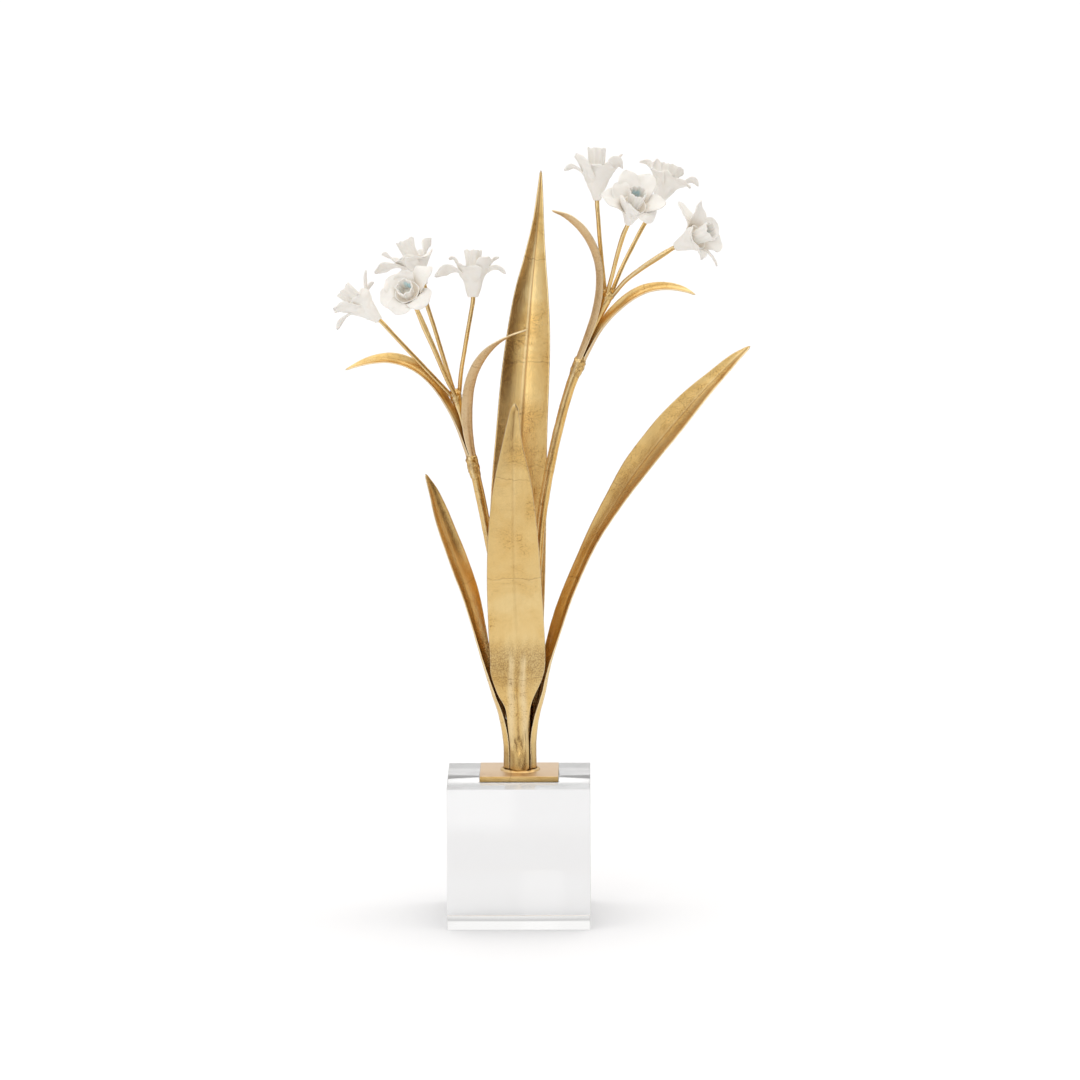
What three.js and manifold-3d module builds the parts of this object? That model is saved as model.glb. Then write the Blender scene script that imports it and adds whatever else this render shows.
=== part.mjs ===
// An ornament: gilt metal narcissus leaves and flower stems with white porcelain blooms, standing
// on a small gilt plate that is bonded to a clear acrylic block.
// Millimetres, +Z up. The origin is the middle of the block's foot, and the front looks along -Y.
import * as THREE from "three";
import { mergeVertices } from "three/addons/utils/BufferGeometryUtils.js";
import Module from "manifold-3d";

const wasm = await Module();
wasm.setup();

// Driving sizes
const BLOCK = 101.6; // side of the cube
const GAP = 0.3; // between pieces that touch, filled by solder or glue
const PLATE = { width: 56, depth: 54, thick: 4, middle: [0.3, 2.5] };
const LEAF_SHEET = 1.2;
const BRACT_SHEET = 1.0;
const STEM_RADIUS = 3.4;
const WIRE_RADIUS = 1.55; // where a wire enters its bloom
const PLATE_TOP = BLOCK + GAP + PLATE.thick;
const FOOT = PLATE_TOP + GAP; // where the leaves and stems stand
const BUNDLE = { middle: [0.85, 4.15], across: 23.9, deep: 26.5 };
const BEAD = [[0, -0.5], [2, -0.5], [1.2, 0.7], [0, 1.3]]; // outward and up, round the bundle's foot
const LEAF_FLUTES = { from: [118, 145], to: [178, 212] }; // heights where they rise and fade
const BRACT_KEEL = 0.4;

// How finely the shapes are split, along and across
const SPLIT = {
  leaf: { perRow: 1.6, across: 6 },
  bract: { steps: 18, across: 4 },
  petal: { steps: 4, across: 2 },
  stem: { perRow: 1.5, sides: 9 },
  wire: { steps: 8, sides: 8 },
  cone: 12,
  bead: 28,
};

// Leaves and bracts are bent strips. A row is one station from foot to tip: x, y, z of the strip's
// middle, its width from edge to edge, the arc in degrees that its edges are rolled through, and
// the way its outer face looks, in degrees from +X.
const LEAVES = {
  leaf_front: {
    keel: 0.9,
    flute: 1.1,
    rows: [
      [0.6, -7.4, FOOT, 13.3, 120, -90],
      [0.5, -7.4, 124, 13.2, 120, -90],
      [-0.4, -8, 139, 14.6, 104, -90],
      [-0.5, -9.9, 153, 18.4, 56, -90],
      [-1.2, -11.2, 165, 29, 36, -90],
      [-1, -12.4, 177, 37.6, 30, -90],
      [-0.5, -13.8, 190, 39.6, 26, -90],
      [-1.5, -17.5, 218, 39.6, 22, -90],
      [-2.8, -21.5, 250, 38.2, 22, -90],
      [-3.3, -25.5, 284, 34.5, 24, -90],
      [-3.2, -29, 318, 26.2, 26, -90],
      [-3.1, -31.5, 348, 13.6, 26, -90],
      [-1.2, -33, 375.5, 4.5, 20, -90],
    ],
  },
  leaf_back: {
    keel: 1.2,
    flute: 0.6,
    rows: [
      [0.9, 15.4, FOOT, 13.3, 120, 90],
      [0.9, 15.5, 128, 13.5, 118, 90],
      [0.8, 15.8, 147, 23, 80, 90],
      [0, 16.2, 164, 35, 60, 90],
      [-0.8, 16.6, 182, 38, 52, 90],
      [-1.1, 17, 205, 38, 48, 90],
      [-0.8, 18.5, 238, 39.8, 44, 90],
      [-0.2, 21, 274, 40.3, 44, 90],
      [0.9, 24, 310, 39.2, 44, 90],
      [2.8, 27.5, 346, 36.6, 46, 90],
      [5.3, 31, 383, 34.6, 50, 90],
      [7.8, 34.5, 414, 31, 54, 90],
      [10, 38, 443, 24.7, 56, 90],
      [12.6, 41.5, 469, 15.8, 54, 90],
      [15, 44.5, 494, 8.4, 50, 90],
      [16.3, 46.5, 514, 4.7, 40, 90],
      [17.1, 48, 531, 1.4, 30, 90],
    ],
  },
  leaf_left: {
    keel: 1.0,
    flute: 0,
    rows: [
      [-9.3, 4, FOOT, 12, 100, 180],
      [-9.6, 4, 126, 12, 98, 180],
      [-12.8, 3.2, 145, 13, 86, 176],
      [-17.5, 1.6, 160, 14, 78, 171],
      [-21.6, -0.6, 175, 15.5, 74, 165],
      [-25.7, -3.4, 192, 17, 70, 158],
      [-29.9, -6.6, 211, 18.3, 66, 152],
      [-35.1, -9.8, 234, 19.2, 60, 146],
      [-42.3, -13.3, 256, 19.2, 56, 142],
      [-49.4, -16.5, 277, 17.5, 52, 140],
      [-54.8, -18.8, 294, 15, 48, 138],
      [-59.6, -20.4, 310, 9.6, 44, 138],
      [-64.8, -21.5, 323.5, 2, 30, 138],
    ],
  },
  leaf_right: {
    keel: 1.2,
    flute: 0,
    rows: [
      [10.8, 4, FOOT, 12, 100, 0],
      [10.9, 4, 126, 12, 98, 0],
      [13.6, 4, 146, 12.8, 90, 6],
      [17.4, 3.6, 162, 13.5, 84, 12],
      [21, 3, 180, 14.3, 78, 20],
      [25.6, 2.5, 199, 15, 73, 28],
      [31.1, 2, 217, 15.2, 68, 33],
      [37.8, 1, 236, 14.6, 64, 34],
      [46.1, 0, 256, 14.6, 60, 35],
      [56.6, -1.5, 278, 16.2, 56, 38],
      [70.6, -3.2, 302, 20.8, 52, 41],
      [86.6, -4.8, 326, 26, 48, 43],
      [104.6, -6.3, 349, 27, 46, 45],
      [122.6, -7.5, 370.5, 22.8, 44, 47],
      [139.2, -8.7, 388.5, 15.4, 42, 49],
      [153.2, -9.5, 402.5, 10, 40, 50],
      [165, -10, 412.5, 2.4, 30, 50],
    ],
  },
};

// The small leaves at each branch wrap the stem at their foot. Their last figure is how far the
// strip is twisted about its own length, in degrees.
const BRACTS = {
  bract_left_outer: [
    [-35, 0, 331, 6.1, 158, 160, 0],
    [-38.2, -0.3, 341, 7.2, 140, 158, 0],
    [-42, -0.6, 352, 8.4, 124, 155, 0],
    [-46.6, -1.2, 363, 9, 116, 152, 0],
    [-52.6, -2.2, 374.2, 9.2, 112, 150, 0],
    [-59.8, -3.2, 385, 9.4, 110, 148, 6],
    [-68.6, -4.2, 394.2, 9.6, 108, 146, 16],
    [-78.6, -5, 400.4, 9.6, 104, 144, 30],
    [-89.4, -5.6, 403.2, 9.2, 96, 142, 42],
    [-100.4, -6, 402.6, 8.2, 84, 140, 46],
    [-111, -6, 400, 6, 60, 140, 46],
    [-121.5, -6, 395.8, 1.8, 30, 140, 40],
  ],
  bract_left_inner: [
    [-29.9, -1.9, 332, 6.1, 158, -18, 0],
    [-32.1, -4.1, 343, 8, 140, -36, 0],
    [-34, -6.2, 356, 9.2, 116, -48, 0],
    [-34.4, -7.6, 368.5, 9.6, 96, -51, 0],
    [-33.4, -9, 380.5, 9.6, 82, -51, 0],
    [-30.8, -10.4, 391.6, 9.4, 72, -51, 0],
    [-26.2, -11.6, 401.6, 9.2, 64, -51, 0],
    [-20.2, -12.6, 409.4, 8.8, 58, -51, -4],
    [-13, -13.3, 415.6, 8, 52, -51, -14],
    [-4.4, -13.8, 420.8, 6.2, 44, -51, -22],
    [6.8, -14, 425.2, 1.8, 30, -51, -22],
  ],
  bract_right_inner: [
    [41.8, 1.8, 401, 6.1, 158, 196, 0],
    [46, 0.8, 411.5, 7.2, 136, 205, 0],
    [50.2, -0.3, 422.5, 8, 110, 210, 0],
    [53.9, -1.4, 433.5, 8.4, 92, 212, 0],
    [56.4, -2.2, 444.5, 8.6, 80, 213, 0],
    [57.7, -2.8, 455.5, 8.7, 70, 213, 0],
    [57.5, -3.1, 467, 8.8, 64, 215, 0],
    [55.2, -3.3, 478, 9, 60, 220, 0],
    [50.6, -3.4, 488.4, 8.8, 56, 226, 0],
    [44, -3.3, 497.4, 8, 52, 230, -4],
    [35.4, -3.1, 504.4, 6, 44, 234, -10],
    [25, -3, 508.8, 1.8, 30, 236, -10],
  ],
  bract_right_outer: [
    [47.6, 3.2, 399.6, 6.1, 158, 16, 0],
    [52.2, 3.8, 409.4, 7.6, 140, 20, 0],
    [57.2, 4, 419, 8.8, 126, 24, 0],
    [63.4, 3.6, 428.2, 9.2, 118, 26, -4],
    [71, 2.8, 436.8, 9.6, 114, 28, -8],
    [80, 2, 444.4, 10.2, 110, 30, -12],
    [90, 1.2, 450, 10, 106, 31, -18],
    [100, 0.5, 452.6, 9.6, 98, 32, -24],
    [110, 0, 452.8, 8.6, 82, 32, -30],
    [119, -0.4, 451, 6.4, 60, 32, -34],
    [126.4, -0.6, 448, 2, 30, 32, -30],
  ],
};

// Flower stems, as rows of x, y, z and radius. The last rows are the lump of solder that the
// flower wires spring from.
const STEMS = {
  stem_left: [
    [-4.8, 4.2, FOOT, STEM_RADIUS],
    [-5, 4.2, 130, STEM_RADIUS],
    [-6.2, 4.2, 157, STEM_RADIUS],
    [-8.2, 4.2, 185, STEM_RADIUS],
    [-11, 4, 214, STEM_RADIUS],
    [-15, 3, 242, STEM_RADIUS],
    [-19.8, 2, 269, STEM_RADIUS],
    [-24.6, 0.9, 294, STEM_RADIUS],
    [-28.6, -0.1, 314, STEM_RADIUS],
    [-30.9, -0.7, 324, STEM_RADIUS],
    [-31.9, -1, 328.4, 1.9],
    [-34.2, -1.5, 338, 1.9],
    [-37.1, -2.2, 350, 1.9],
    [-39.6, -2.9, 361, 2],
    [-41.6, -3.4, 369.5, 3.1],
    [-43.2, -3.7, 376.6, 3.4],
  ],
  stem_right: [
    [6.3, 4.2, FOOT, STEM_RADIUS],
    [6.4, 4.2, 134, STEM_RADIUS],
    [7.4, 4.4, 166, STEM_RADIUS],
    [9.6, 4.7, 198, STEM_RADIUS],
    [11.9, 5.2, 229, STEM_RADIUS],
    [14.2, 5.8, 258, STEM_RADIUS],
    [17, 6, 288, STEM_RADIUS],
    [21.2, 5.9, 314, STEM_RADIUS],
    [25.8, 5.2, 337, STEM_RADIUS],
    [30.8, 4.4, 358, STEM_RADIUS],
    [36, 3.6, 377, STEM_RADIUS],
    [40.2, 3.1, 389, 3.6],
    [42.3, 2.9, 394.4, 3.6],
    [43.6, 2.8, 397.6, 1.9],
    [48.1, 2.6, 409, 1.9],
    [53.2, 2.3, 421, 1.9],
    [58.2, 2.1, 432.4, 2.4],
    [62.2, 1.9, 441.6, 3.4],
    [64.9, 1.8, 447.9, 3.4],
  ],
};

// A bloom: its foot, the way it looks, the radius of its neck, how far its cup stands above the mouth
// and the cup's radius at the rim, the route of its wire from the stem as x, y, z and radius, and its
// petals. A petal is the way it points round the bloom's axis (0 is to the right seen from the front),
// how far its tip reaches from the axis, how far the tip rises above the mouth, its width, the arc it
// is curled through, the width of its tip, how far it is twisted by its tip, and how far it arches up.
const BLOOMS = {
  bloom_left_1: {
    foot: [-97.1, -9, 431.7],
    axis: [-0.76, 0.1, 0.64],
    neck: 3,
    cup: { tall: 15, rim: 6.2 },
    wire: [
      [-46.4, -4.4, 376.6, 1.5],
      [-58.5, -7.4, 390.2, 1.5],
      [-74, -8.8, 407, 1.5],
      [-87.2, -9.4, 421.4, 1.5],
    ],
    petals: [
      [350, 21, 11.5, 3.8, 60, 3, 25, 0],
      [18, 19, 2, 7, 80, 1.5, 20, 1],
      [95, 18, 4, 14, 40, 6, 0, 1],
      [184, 24.5, 0, 4.5, 60, 5.5, -50, 1.3],
      [222, 19.5, 11, 15, 20, 5, 0, 1],
      [290, 12, 4, 19, 80, 12, 0, 1],
    ],
  },
  bloom_left_2: {
    foot: [-65.9, 10, 454],
    axis: [-0.4, 0.18, 0.9],
    neck: 3.3,
    cup: { tall: 16, rim: 6.2 },
    wire: [
      [-44.2, -0.8, 377.2, 1.5],
      [-51.4, 3, 400.4, 1.5],
      [-58.4, 6.6, 423.4, 1.5],
      [-64, 8.8, 441.4, 1.5],
    ],
    petals: [
      [158, 20, 14, 13, 30, 8, -25, 1],
      [183, 28.5, 3.5, 13, 40, 9, -35, 1],
      [12, 18.5, 10.5, 11, 40, 2, 40, 1],
      [238, 14, 4.5, 19, 30, 14, 0, 1],
      [302, 15.5, -1.5, 23, 50, 17, 0, 1],
      [80, 18, 6, 16, 30, 9, 0, 1],
    ],
  },
  bloom_left_3: {
    foot: [-71.7, -22.9, 444.2],
    axis: [-0.27, -0.75, 0.61],
    neck: 3.3,
    cup: { tall: 7.5, rim: 6.4 },
    wire: [
      [-43.6, -6.8, 377.2, 1.5],
      [-49.6, -9, 389.4, 1.6],
      [-57.6, -11.8, 409.4, 1.8],
      [-65.4, -15, 428, 2],
    ],
    petals: [
      [145, 17.5, 4, 16, 20, 11, 0, 1],
      [100, 15.5, 5, 15, 20, 10, 0, 1],
      [38, 24.5, 4, 19, 30, 9, 20, 2],
      [320, 20.5, 1, 20, 20, 15, 0, 1],
      [246, 19, 0, 18, 20, 12, 0, 1],
      [198, 20, 1, 18, 20, 12, 0, 1],
    ],
  },
  bloom_left_4: {
    foot: [-31.1, 10, 445.4],
    axis: [0.01, 0.18, 0.98],
    neck: 3.8,
    cup: { tall: 14.5, rim: 6.2 },
    wire: [
      [-41, -2.2, 378.2, 1.5],
      [-39.6, 1, 393.4, 1.5],
      [-36, 5.4, 415, 1.5],
      [-32.6, 8.6, 434, 1.5],
    ],
    petals: [
      [178, 17.5, 8.5, 6, 50, 4, -30, 3.3],
      [186, 27.5, -4.5, 11, 30, 2, -60, 3],
      [25, 20, 10.5, 5, 50, 2, 25, 1],
      [358, 23, -1.8, 7, 70, 2, 30, 3.3],
      [250, 12.8, 2.5, 20, 60, 14, 0, 1],
      [318, 15, 9.5, 14, 40, 8, 0, 1],
    ],
  },
  bloom_right_1: {
    size: 1.1,
    foot: [57.1, 10, 514],
    axis: [-0.005, 0.16, 0.99],
    neck: 2.6,
    cup: { tall: 15.2, rim: 6 },
    wire: [
      [62.6, 3.9, 449.4, 1.5],
      [60.8, 5.4, 466, 1.5],
      [59, 7.4, 485, 1.5],
      [57.8, 9, 502, 1.5],
    ],
    petals: [
      [182, 21.2, 1, 6, 60, 3, -30, 2.6],
      [212, 15.5, 11.5, 16, 50, 3, 0, 0],
      [20, 17.5, 11.5, 5, 40, 3, 30, 0],
      [345, 17.5, 2, 13, 60, 3, 25, 4],
      [290, 12, 4.2, 19, 70, 13, 0, 1],
      [90, 16, 6, 14, 30, 7, 0, 1],
    ],
  },
  bloom_right_2: {
    foot: [79, -18, 501.5],
    axis: [0.22, -0.6, 0.77],
    neck: 3,
    cup: { tall: 13.5, rim: 6.3 },
    wire: [
      [64, -0.8, 448.8, 1.5],
      [68, -4.4, 464, 1.5],
      [71.8, -9, 479.6, 1.6],
      [75.4, -14, 492, 1.7],
    ],
    petals: [
      [143, 19.5, 6, 17, 20, 13, 0, 1],
      [178, 25, 4, 16, 20, 5, 0, 1],
      [232, 11.5, 10, 19, 60, 14, 0, 0],
      [318, 18, -3, 18, 20, 13, 0, 2],
      [8, 22.5, 4, 16, 20, 9, 0, 1],
      [108, 25.5, 9, 15, 20, 8, 0, 1],
      [68, 26, 9, 16, 20, 9, 0, 1],
    ],
  },
  bloom_right_3: {
    foot: [99.4, 26, 509],
    axis: [0.4, 0.25, 0.88],
    neck: 3,
    cup: { tall: 11, rim: 8.4 },
    wire: [
      [66.7, 4, 447.8, 1.5],
      [74, 10.4, 464.8, 1.5],
      [82.6, 17, 481.4, 1.5],
      [90.6, 22.4, 495.6, 1.5],
    ],
    petals: [
      [178, 23.7, 5, 7, 60, 2, -30, 3],
      [4, 22, 5.7, 7, 50, 2, 30, 4],
      [330, 20, 0.2, 13, 40, 7, 0, 2],
      [215, 16, 2, 16, 40, 7, 0, 1],
      [285, 12.5, 3, 19, 60, 14, 0, 1],
      [140, 17.5, 13.5, 14, 20, 2, 0, 0],
    ],
  },
  bloom_right_4: {
    foot: [112.6, -14, 484],
    axis: [0.81, -0.41, 0.42],
    neck: 3.4,
    cup: { tall: 12.5, rim: 6.6 },
    wire: [
      [67.9, 0, 447.4, 1.5],
      [77, -4.6, 458.6, 1.6],
      [88.4, -8.6, 468, 1.8],
      [101.4, -11.8, 477, 2],
    ],
    petals: [
      [124, 28.5, -4.5, 11, 30, 6, 0, 1],
      [104, 25.5, 8, 18, 20, 15, -25, 1],
      [52, 21.5, 8, 16, 20, 11, 0, 1],
      [12, 22, 6, 17, 20, 12, 0, 1],
      [292, 17, -1, 11, 40, 6, 0, 1],
      [330, 25.5, 1.5, 5, 60, 2.5, 30, 1],
      [222, 12, 1, 19, 60, 14, 0, 1],
    ],
  },
};

// One bloom's own sizes, from its foot at z = 0
const MOUTH = { radius: 8.9, z: 18.5 };
const CONE = [[6.4, 10], [8.1, 15.5], [MOUTH.radius, MOUTH.z]]; // above the neck
const FUNNEL = [[7.7, 18.3], [5.4, 17]];
const CUP_FOOT = { radius: 4.6, z: 15 };
const CUP_WALL = 1.1;
const CUP_RIBS = 8;
const CUP_RIB = 0.3; // how far a rib stands out of the cup, and a groove lies in it
const PETAL = {
  thick: 1.1,
  keel: 0.5,
  lap: 8, // the turn by which each lies over the next
  foot: [4.9, 9, 5, 50], // inside the cone: reach, height, width and curl
  side: [6.6, 14, 0.8, 60], // on the cone: reach, height, share of the width, and curl
  rim: { inset: 0.5, part: 0.12, width: 0.95, curl: 15 }, // as it bends over the mouth
  middle: { out: 0.55, up: 0.62 }, // parts of the way to the tip where it is widest
};
const SOCKET_DEPTH = 5;

const gilt = new THREE.MeshStandardMaterial({ color: 0xc89f55, roughness: 0.35, metalness: 1 });
const porcelain = new THREE.MeshStandardMaterial({ color: 0xece8e1, roughness: 0.6, metalness: 0 });
const acrylic = new THREE.MeshStandardMaterial({
  color: 0xf1f4f5,
  roughness: 0.04,
  metalness: 0,
  transparent: true,
  opacity: 0.35,
});

const degrees = THREE.MathUtils.degToRad;

// The row at t, from 0 to rows.length - 1, on a smooth curve through rows of numbers.
function along(rows, t) {
  const i = Math.min(Math.floor(t), rows.length - 2);
  const f = t - i;
  const b = rows[i];
  const c = rows[i + 1];
  const a = rows[i - 1] ?? b.map((v, k) => 2 * v - c[k]);
  const d = rows[i + 2] ?? c.map((v, k) => 2 * v - b[k]);
  return b.map((v, k) => {
    const square = 2 * a[k] - 5 * v + 4 * c[k] - d[k];
    const cube = 3 * (v - c[k]) + d[k] - a[k];
    return v + 0.5 * f * (c[k] - a[k] + f * (square + f * cube));
  });
}

function directionAt(rows, t) {
  const end = rows.length - 1;
  const before = along(rows, Math.max(t - 0.01, 0));
  const after = along(rows, Math.min(t + 0.01, end));
  return new THREE.Vector3(...after).sub(new THREE.Vector3(...before)).normalize();
}

function geometryOf(points, triangles) {
  const geometry = new THREE.BufferGeometry();
  geometry.setAttribute("position", new THREE.Float32BufferAttribute(points.flat(), 3));
  geometry.setIndex(triangles.flat());
  return geometry;
}

// Triangles that join rings of points, each ring a closed loop, with both ends closed by fans.
function skinOf(rings) {
  const n = rings[0].length;
  const points = rings.flat();
  const triangles = [];
  for (let i = 0; i + 1 < rings.length; i++) {
    for (let k = 0; k < n; k++) {
      const a = i * n + k;
      const b = i * n + ((k + 1) % n);
      triangles.push([a, b, b + n], [a, b + n, a + n]);
    }
  }
  return { points, triangles, last: (rings.length - 1) * n, n };
}

function centreOf(ring) {
  return [0, 1, 2].map((k) => ring.reduce((sum, p) => sum + p[k], 0) / ring.length);
}

function tube(rings) {
  const { points, triangles, last, n } = skinOf(rings);
  const foot = points.push(centreOf(rings[0])) - 1;
  const tip = points.push(centreOf(rings[rings.length - 1])) - 1;
  for (let k = 0; k < n; k++) {
    const next = (k + 1) % n;
    triangles.push([foot, next, k], [tip, last + k, last + next]);
  }
  return geometryOf(points, triangles);
}

// Place across a strip, as sideways and outward distances from its middle: u runs from -1 to 1.
function acrossStrip(u, width, roll, keel, flute) {
  const radius = width / 2 / Math.sin(roll / 2);
  const angle = (u * roll) / 2;
  const ridge = keel * (1 - Math.abs(u)) - flute * Math.cos(2.2 * Math.PI * u);
  return new THREE.Vector2(radius * Math.sin(angle), radius * (Math.cos(angle) - 1) + ridge);
}

// A strip of sheet metal or porcelain of one thickness along rows of stations. Both faces are split
// into the same triangles.
function strip(rows, thick, steps, across, keel = 0, fluteAt = () => 0) {
  const end = rows.length - 1;
  const outer = [];
  const inner = [];
  for (let i = 0; i <= steps; i++) {
    const t = (end * i) / steps;
    const [x, y, z, width, roll, face, twist = 0] = along(rows, t);
    const forward = directionAt(rows.map((row) => row.slice(0, 3)), t);
    const side = new THREE.Vector3(-Math.sin(degrees(face)), Math.cos(degrees(face)), 0);
    side.addScaledVector(forward, -side.dot(forward)).normalize();
    side.applyAxisAngle(forward, degrees(-twist));
    const outward = side.clone().cross(forward);
    const keelHere = keel * Math.min(1, width / 12);
    const section = (u) => acrossStrip(u, width, degrees(roll), keelHere, fluteAt(t));
    outer.push([]);
    inner.push([]);
    for (let k = 0; k <= across; k++) {
      const u = (2 * k) / across - 1;
      const middle = section(u);
      const run = section(u + 0.02).sub(section(u - 0.02)).normalize();
      const normal = new THREE.Vector2(-run.y, run.x).multiplyScalar(thick / 2);
      for (const [list, way] of [[outer, 1], [inner, -1]]) {
        const point = new THREE.Vector3(x, y, z)
          .addScaledVector(side, middle.x + way * normal.x)
          .addScaledVector(outward, middle.y + way * normal.y);
        list[i].push(point.toArray());
      }
    }
  }
  const points = [...outer.flat(), ...inner.flat()];
  const row = across + 1;
  const under = row * (steps + 1);
  const triangles = [];
  for (let i = 0; i < steps; i++) {
    for (let k = 0; k < across; k++) {
      const a = i * row + k;
      const [b, c, d] = [a + 1, a + row + 1, a + row];
      triangles.push([a, b, c], [a, c, d]);
      triangles.push([under + a, under + c, under + b], [under + a, under + d, under + c]);
    }
    for (const [a, flip] of [[i * row, false], [i * row + across, true]]) {
      const ring = [a, a + row, under + a + row, under + a];
      if (flip) ring.reverse();
      triangles.push([ring[0], ring[1], ring[2]], [ring[0], ring[2], ring[3]]);
    }
  }
  for (let k = 0; k < across; k++) {
    const top = steps * row + k;
    triangles.push([k, under + k, under + k + 1], [k, under + k + 1, k + 1]);
    triangles.push([top, top + 1, under + top + 1], [top, under + top + 1, under + top]);
  }
  return geometryOf(points, triangles);
}

// A round rod along rows of x, y, z and radius.
function rod(rows, steps, sides) {
  const end = rows.length - 1;
  const rings = [];
  for (let i = 0; i <= steps; i++) {
    const t = (end * i) / steps;
    const [x, y, z, radius] = along(rows, t);
    const forward = directionAt(rows.map((row) => row.slice(0, 3)), t);
    const side = new THREE.Vector3(0, 1, 0).cross(forward).normalize();
    const up = forward.clone().cross(side);
    rings.push([]);
    for (let k = 0; k < sides; k++) {
      const angle = (2 * Math.PI * k) / sides;
      const point = new THREE.Vector3(x, y, z)
        .addScaledVector(side, radius * Math.cos(angle))
        .addScaledVector(up, radius * Math.sin(angle));
      rings[i].push(point.toArray());
    }
  }
  return tube(rings);
}

// A solid turned round the z axis from a profile of radius and height, with ribs if asked for.
function turned(profile, sides, rib = 0) {
  const rings = profile.map(([radius, z], i) => {
    const ring = [];
    for (let k = 0; k < sides; k++) {
      const angle = (2 * Math.PI * k) / sides;
      const r = radius + (i > 0 ? rib * (k % 2 ? 1 : -1) : 0);
      ring.push([r * Math.cos(angle), r * Math.sin(angle), z]);
    }
    return ring;
  });
  return tube(rings);
}

function solidOf(geometry) {
  const bare = geometry.clone();
  bare.deleteAttribute("normal");
  bare.deleteAttribute("uv");
  const merged = mergeVertices(bare, 1e-4);
  return new wasm.Manifold(
    new wasm.Mesh({
      numProp: 3,
      vertProperties: merged.attributes.position.array,
      triVerts: new Uint32Array(merged.index.array),
    }),
  );
}

function geometryFrom(solid) {
  const mesh = solid.getMesh();
  const geometry = new THREE.BufferGeometry();
  geometry.setAttribute("position", new THREE.BufferAttribute(mesh.vertProperties, 3));
  geometry.setIndex(new THREE.BufferAttribute(mesh.triVerts, 1));
  return geometry;
}

// A petal leaves the cone below the mouth, bends out over the rim and narrows to its tip.
function petal([around, reach, rise, width, curl, tip, twist, arch]) {
  const [cos, sin] = [Math.cos(degrees(around)), Math.sin(degrees(around))];
  const { radius, z } = MOUTH;
  const { thick, keel, lap, foot, side, rim, middle } = PETAL;
  const out = reach - radius;
  const bend = [radius - rim.inset + rim.part * out, z + rim.part * rise];
  const widest = [radius + middle.out * out, z + middle.up * rise + arch];
  const stations = [
    [...foot, 0],
    [side[0], side[1], side[2] * width, side[3], 0],
    [...bend, rim.width * width, 0.7 * curl + rim.curl, lap + 0.15 * twist],
    [...widest, width, curl, 0.5 * lap + 0.75 * twist],
    [reach, z + rise, tip, curl, twist],
  ];
  const rows = stations.map(([r, height, across, roll, turn]) => {
    return [r * cos, r * sin, height, across, roll, around, turn];
  });
  return strip(rows, thick, SPLIT.petal.steps, SPLIT.petal.across, keel);
}

// The cup, ribbed outside and in, with its wall's thickness at the rim.
function cupSolid({ tall, rim }) {
  const top = MOUTH.z + tall;
  const half = MOUTH.z + tall / 2;
  const waist = (CUP_FOOT.radius + rim) / 2;
  const outside = [[CUP_FOOT.radius, CUP_FOOT.z], [waist, half], [rim, top]];
  const inside = outside.map(([radius]) => radius - CUP_WALL);
  const lining = [[inside[2], top], [inside[1], half], [inside[0], MOUTH.z - 1]];
  return solidOf(turned([...outside, ...lining], 2 * CUP_RIBS, CUP_RIB));
}

// Cone, petals and ribbed cup are one fired piece.
function bloomSolid(neck, cup, petals) {
  const cone = turned([[neck, 0], [neck + 1.5, 5], ...CONE, ...FUNNEL], SPLIT.cone);
  let solid = solidOf(cone).add(cupSolid(cup));
  for (const shape of petals) solid = solid.add(solidOf(petal(shape)));
  return filled(solid);
}

// Where fused petals seal off a small hollow, the hollow is filled.
function filled(solid) {
  const bodies = solid.decompose().filter((body) => body.volume() > 0);
  return bodies.reduce((sum, body) => sum.add(body));
}

function box(width, depth, height, [x, y, z]) {
  return new THREE.BoxGeometry(width, depth, height).translate(x, y, z + height / 2);
}

// The plate carries a low ring of solder round the foot of the bundle.
function plateSolid() {
  const { width, depth, thick, middle } = PLATE;
  const slab = box(width, depth, thick, [...middle, BLOCK + GAP]);
  const across = BUNDLE.across / 2 + GAP;
  const deep = BUNDLE.deep / 2 + GAP;
  const section = [...BEAD, BEAD[0]].map(([out, up]) => new THREE.Vector2(across + out, up));
  const bead = new THREE.LatheGeometry(section, SPLIT.bead);
  bead.rotateX(Math.PI / 2).scale(1, deep / across, 1);
  bead.translate(...BUNDLE.middle, PLATE_TOP);
  return solidOf(slab).add(solidOf(bead));
}

const ornament = new THREE.Group();

function place(name, geometry, material) {
  const mesh = new THREE.Mesh(geometry, material);
  mesh.name = name;
  ornament.add(mesh);
}

place("block", box(BLOCK, BLOCK, BLOCK, [0, 0, 0]), acrylic);
place("plate", geometryFrom(plateSolid()), gilt);

// The crimped flutes at the foot of a leaf fade out as the blade opens.
function leafFlute(depth, rows) {
  return (t) => {
    const z = along(rows, t)[2];
    const risen = THREE.MathUtils.smoothstep(z, ...LEAF_FLUTES.from);
    const faded = THREE.MathUtils.smoothstep(z, ...LEAF_FLUTES.to);
    return depth * risen * (1 - faded);
  };
}

for (const [name, { rows, keel, flute }] of Object.entries(LEAVES)) {
  const steps = Math.round(SPLIT.leaf.perRow * (rows.length - 1));
  const blade = strip(rows, LEAF_SHEET, steps, SPLIT.leaf.across, keel, leafFlute(flute, rows));
  place(name, blade, gilt);
}

for (const [name, rows] of Object.entries(BRACTS)) {
  place(name, strip(rows, BRACT_SHEET, SPLIT.bract.steps, SPLIT.bract.across, BRACT_KEEL), gilt);
}

for (const [name, rows] of Object.entries(STEMS)) {
  const steps = Math.round(SPLIT.stem.perRow * (rows.length - 1));
  place(name, rod(rows, steps, SPLIT.stem.sides), gilt);
}

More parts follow.
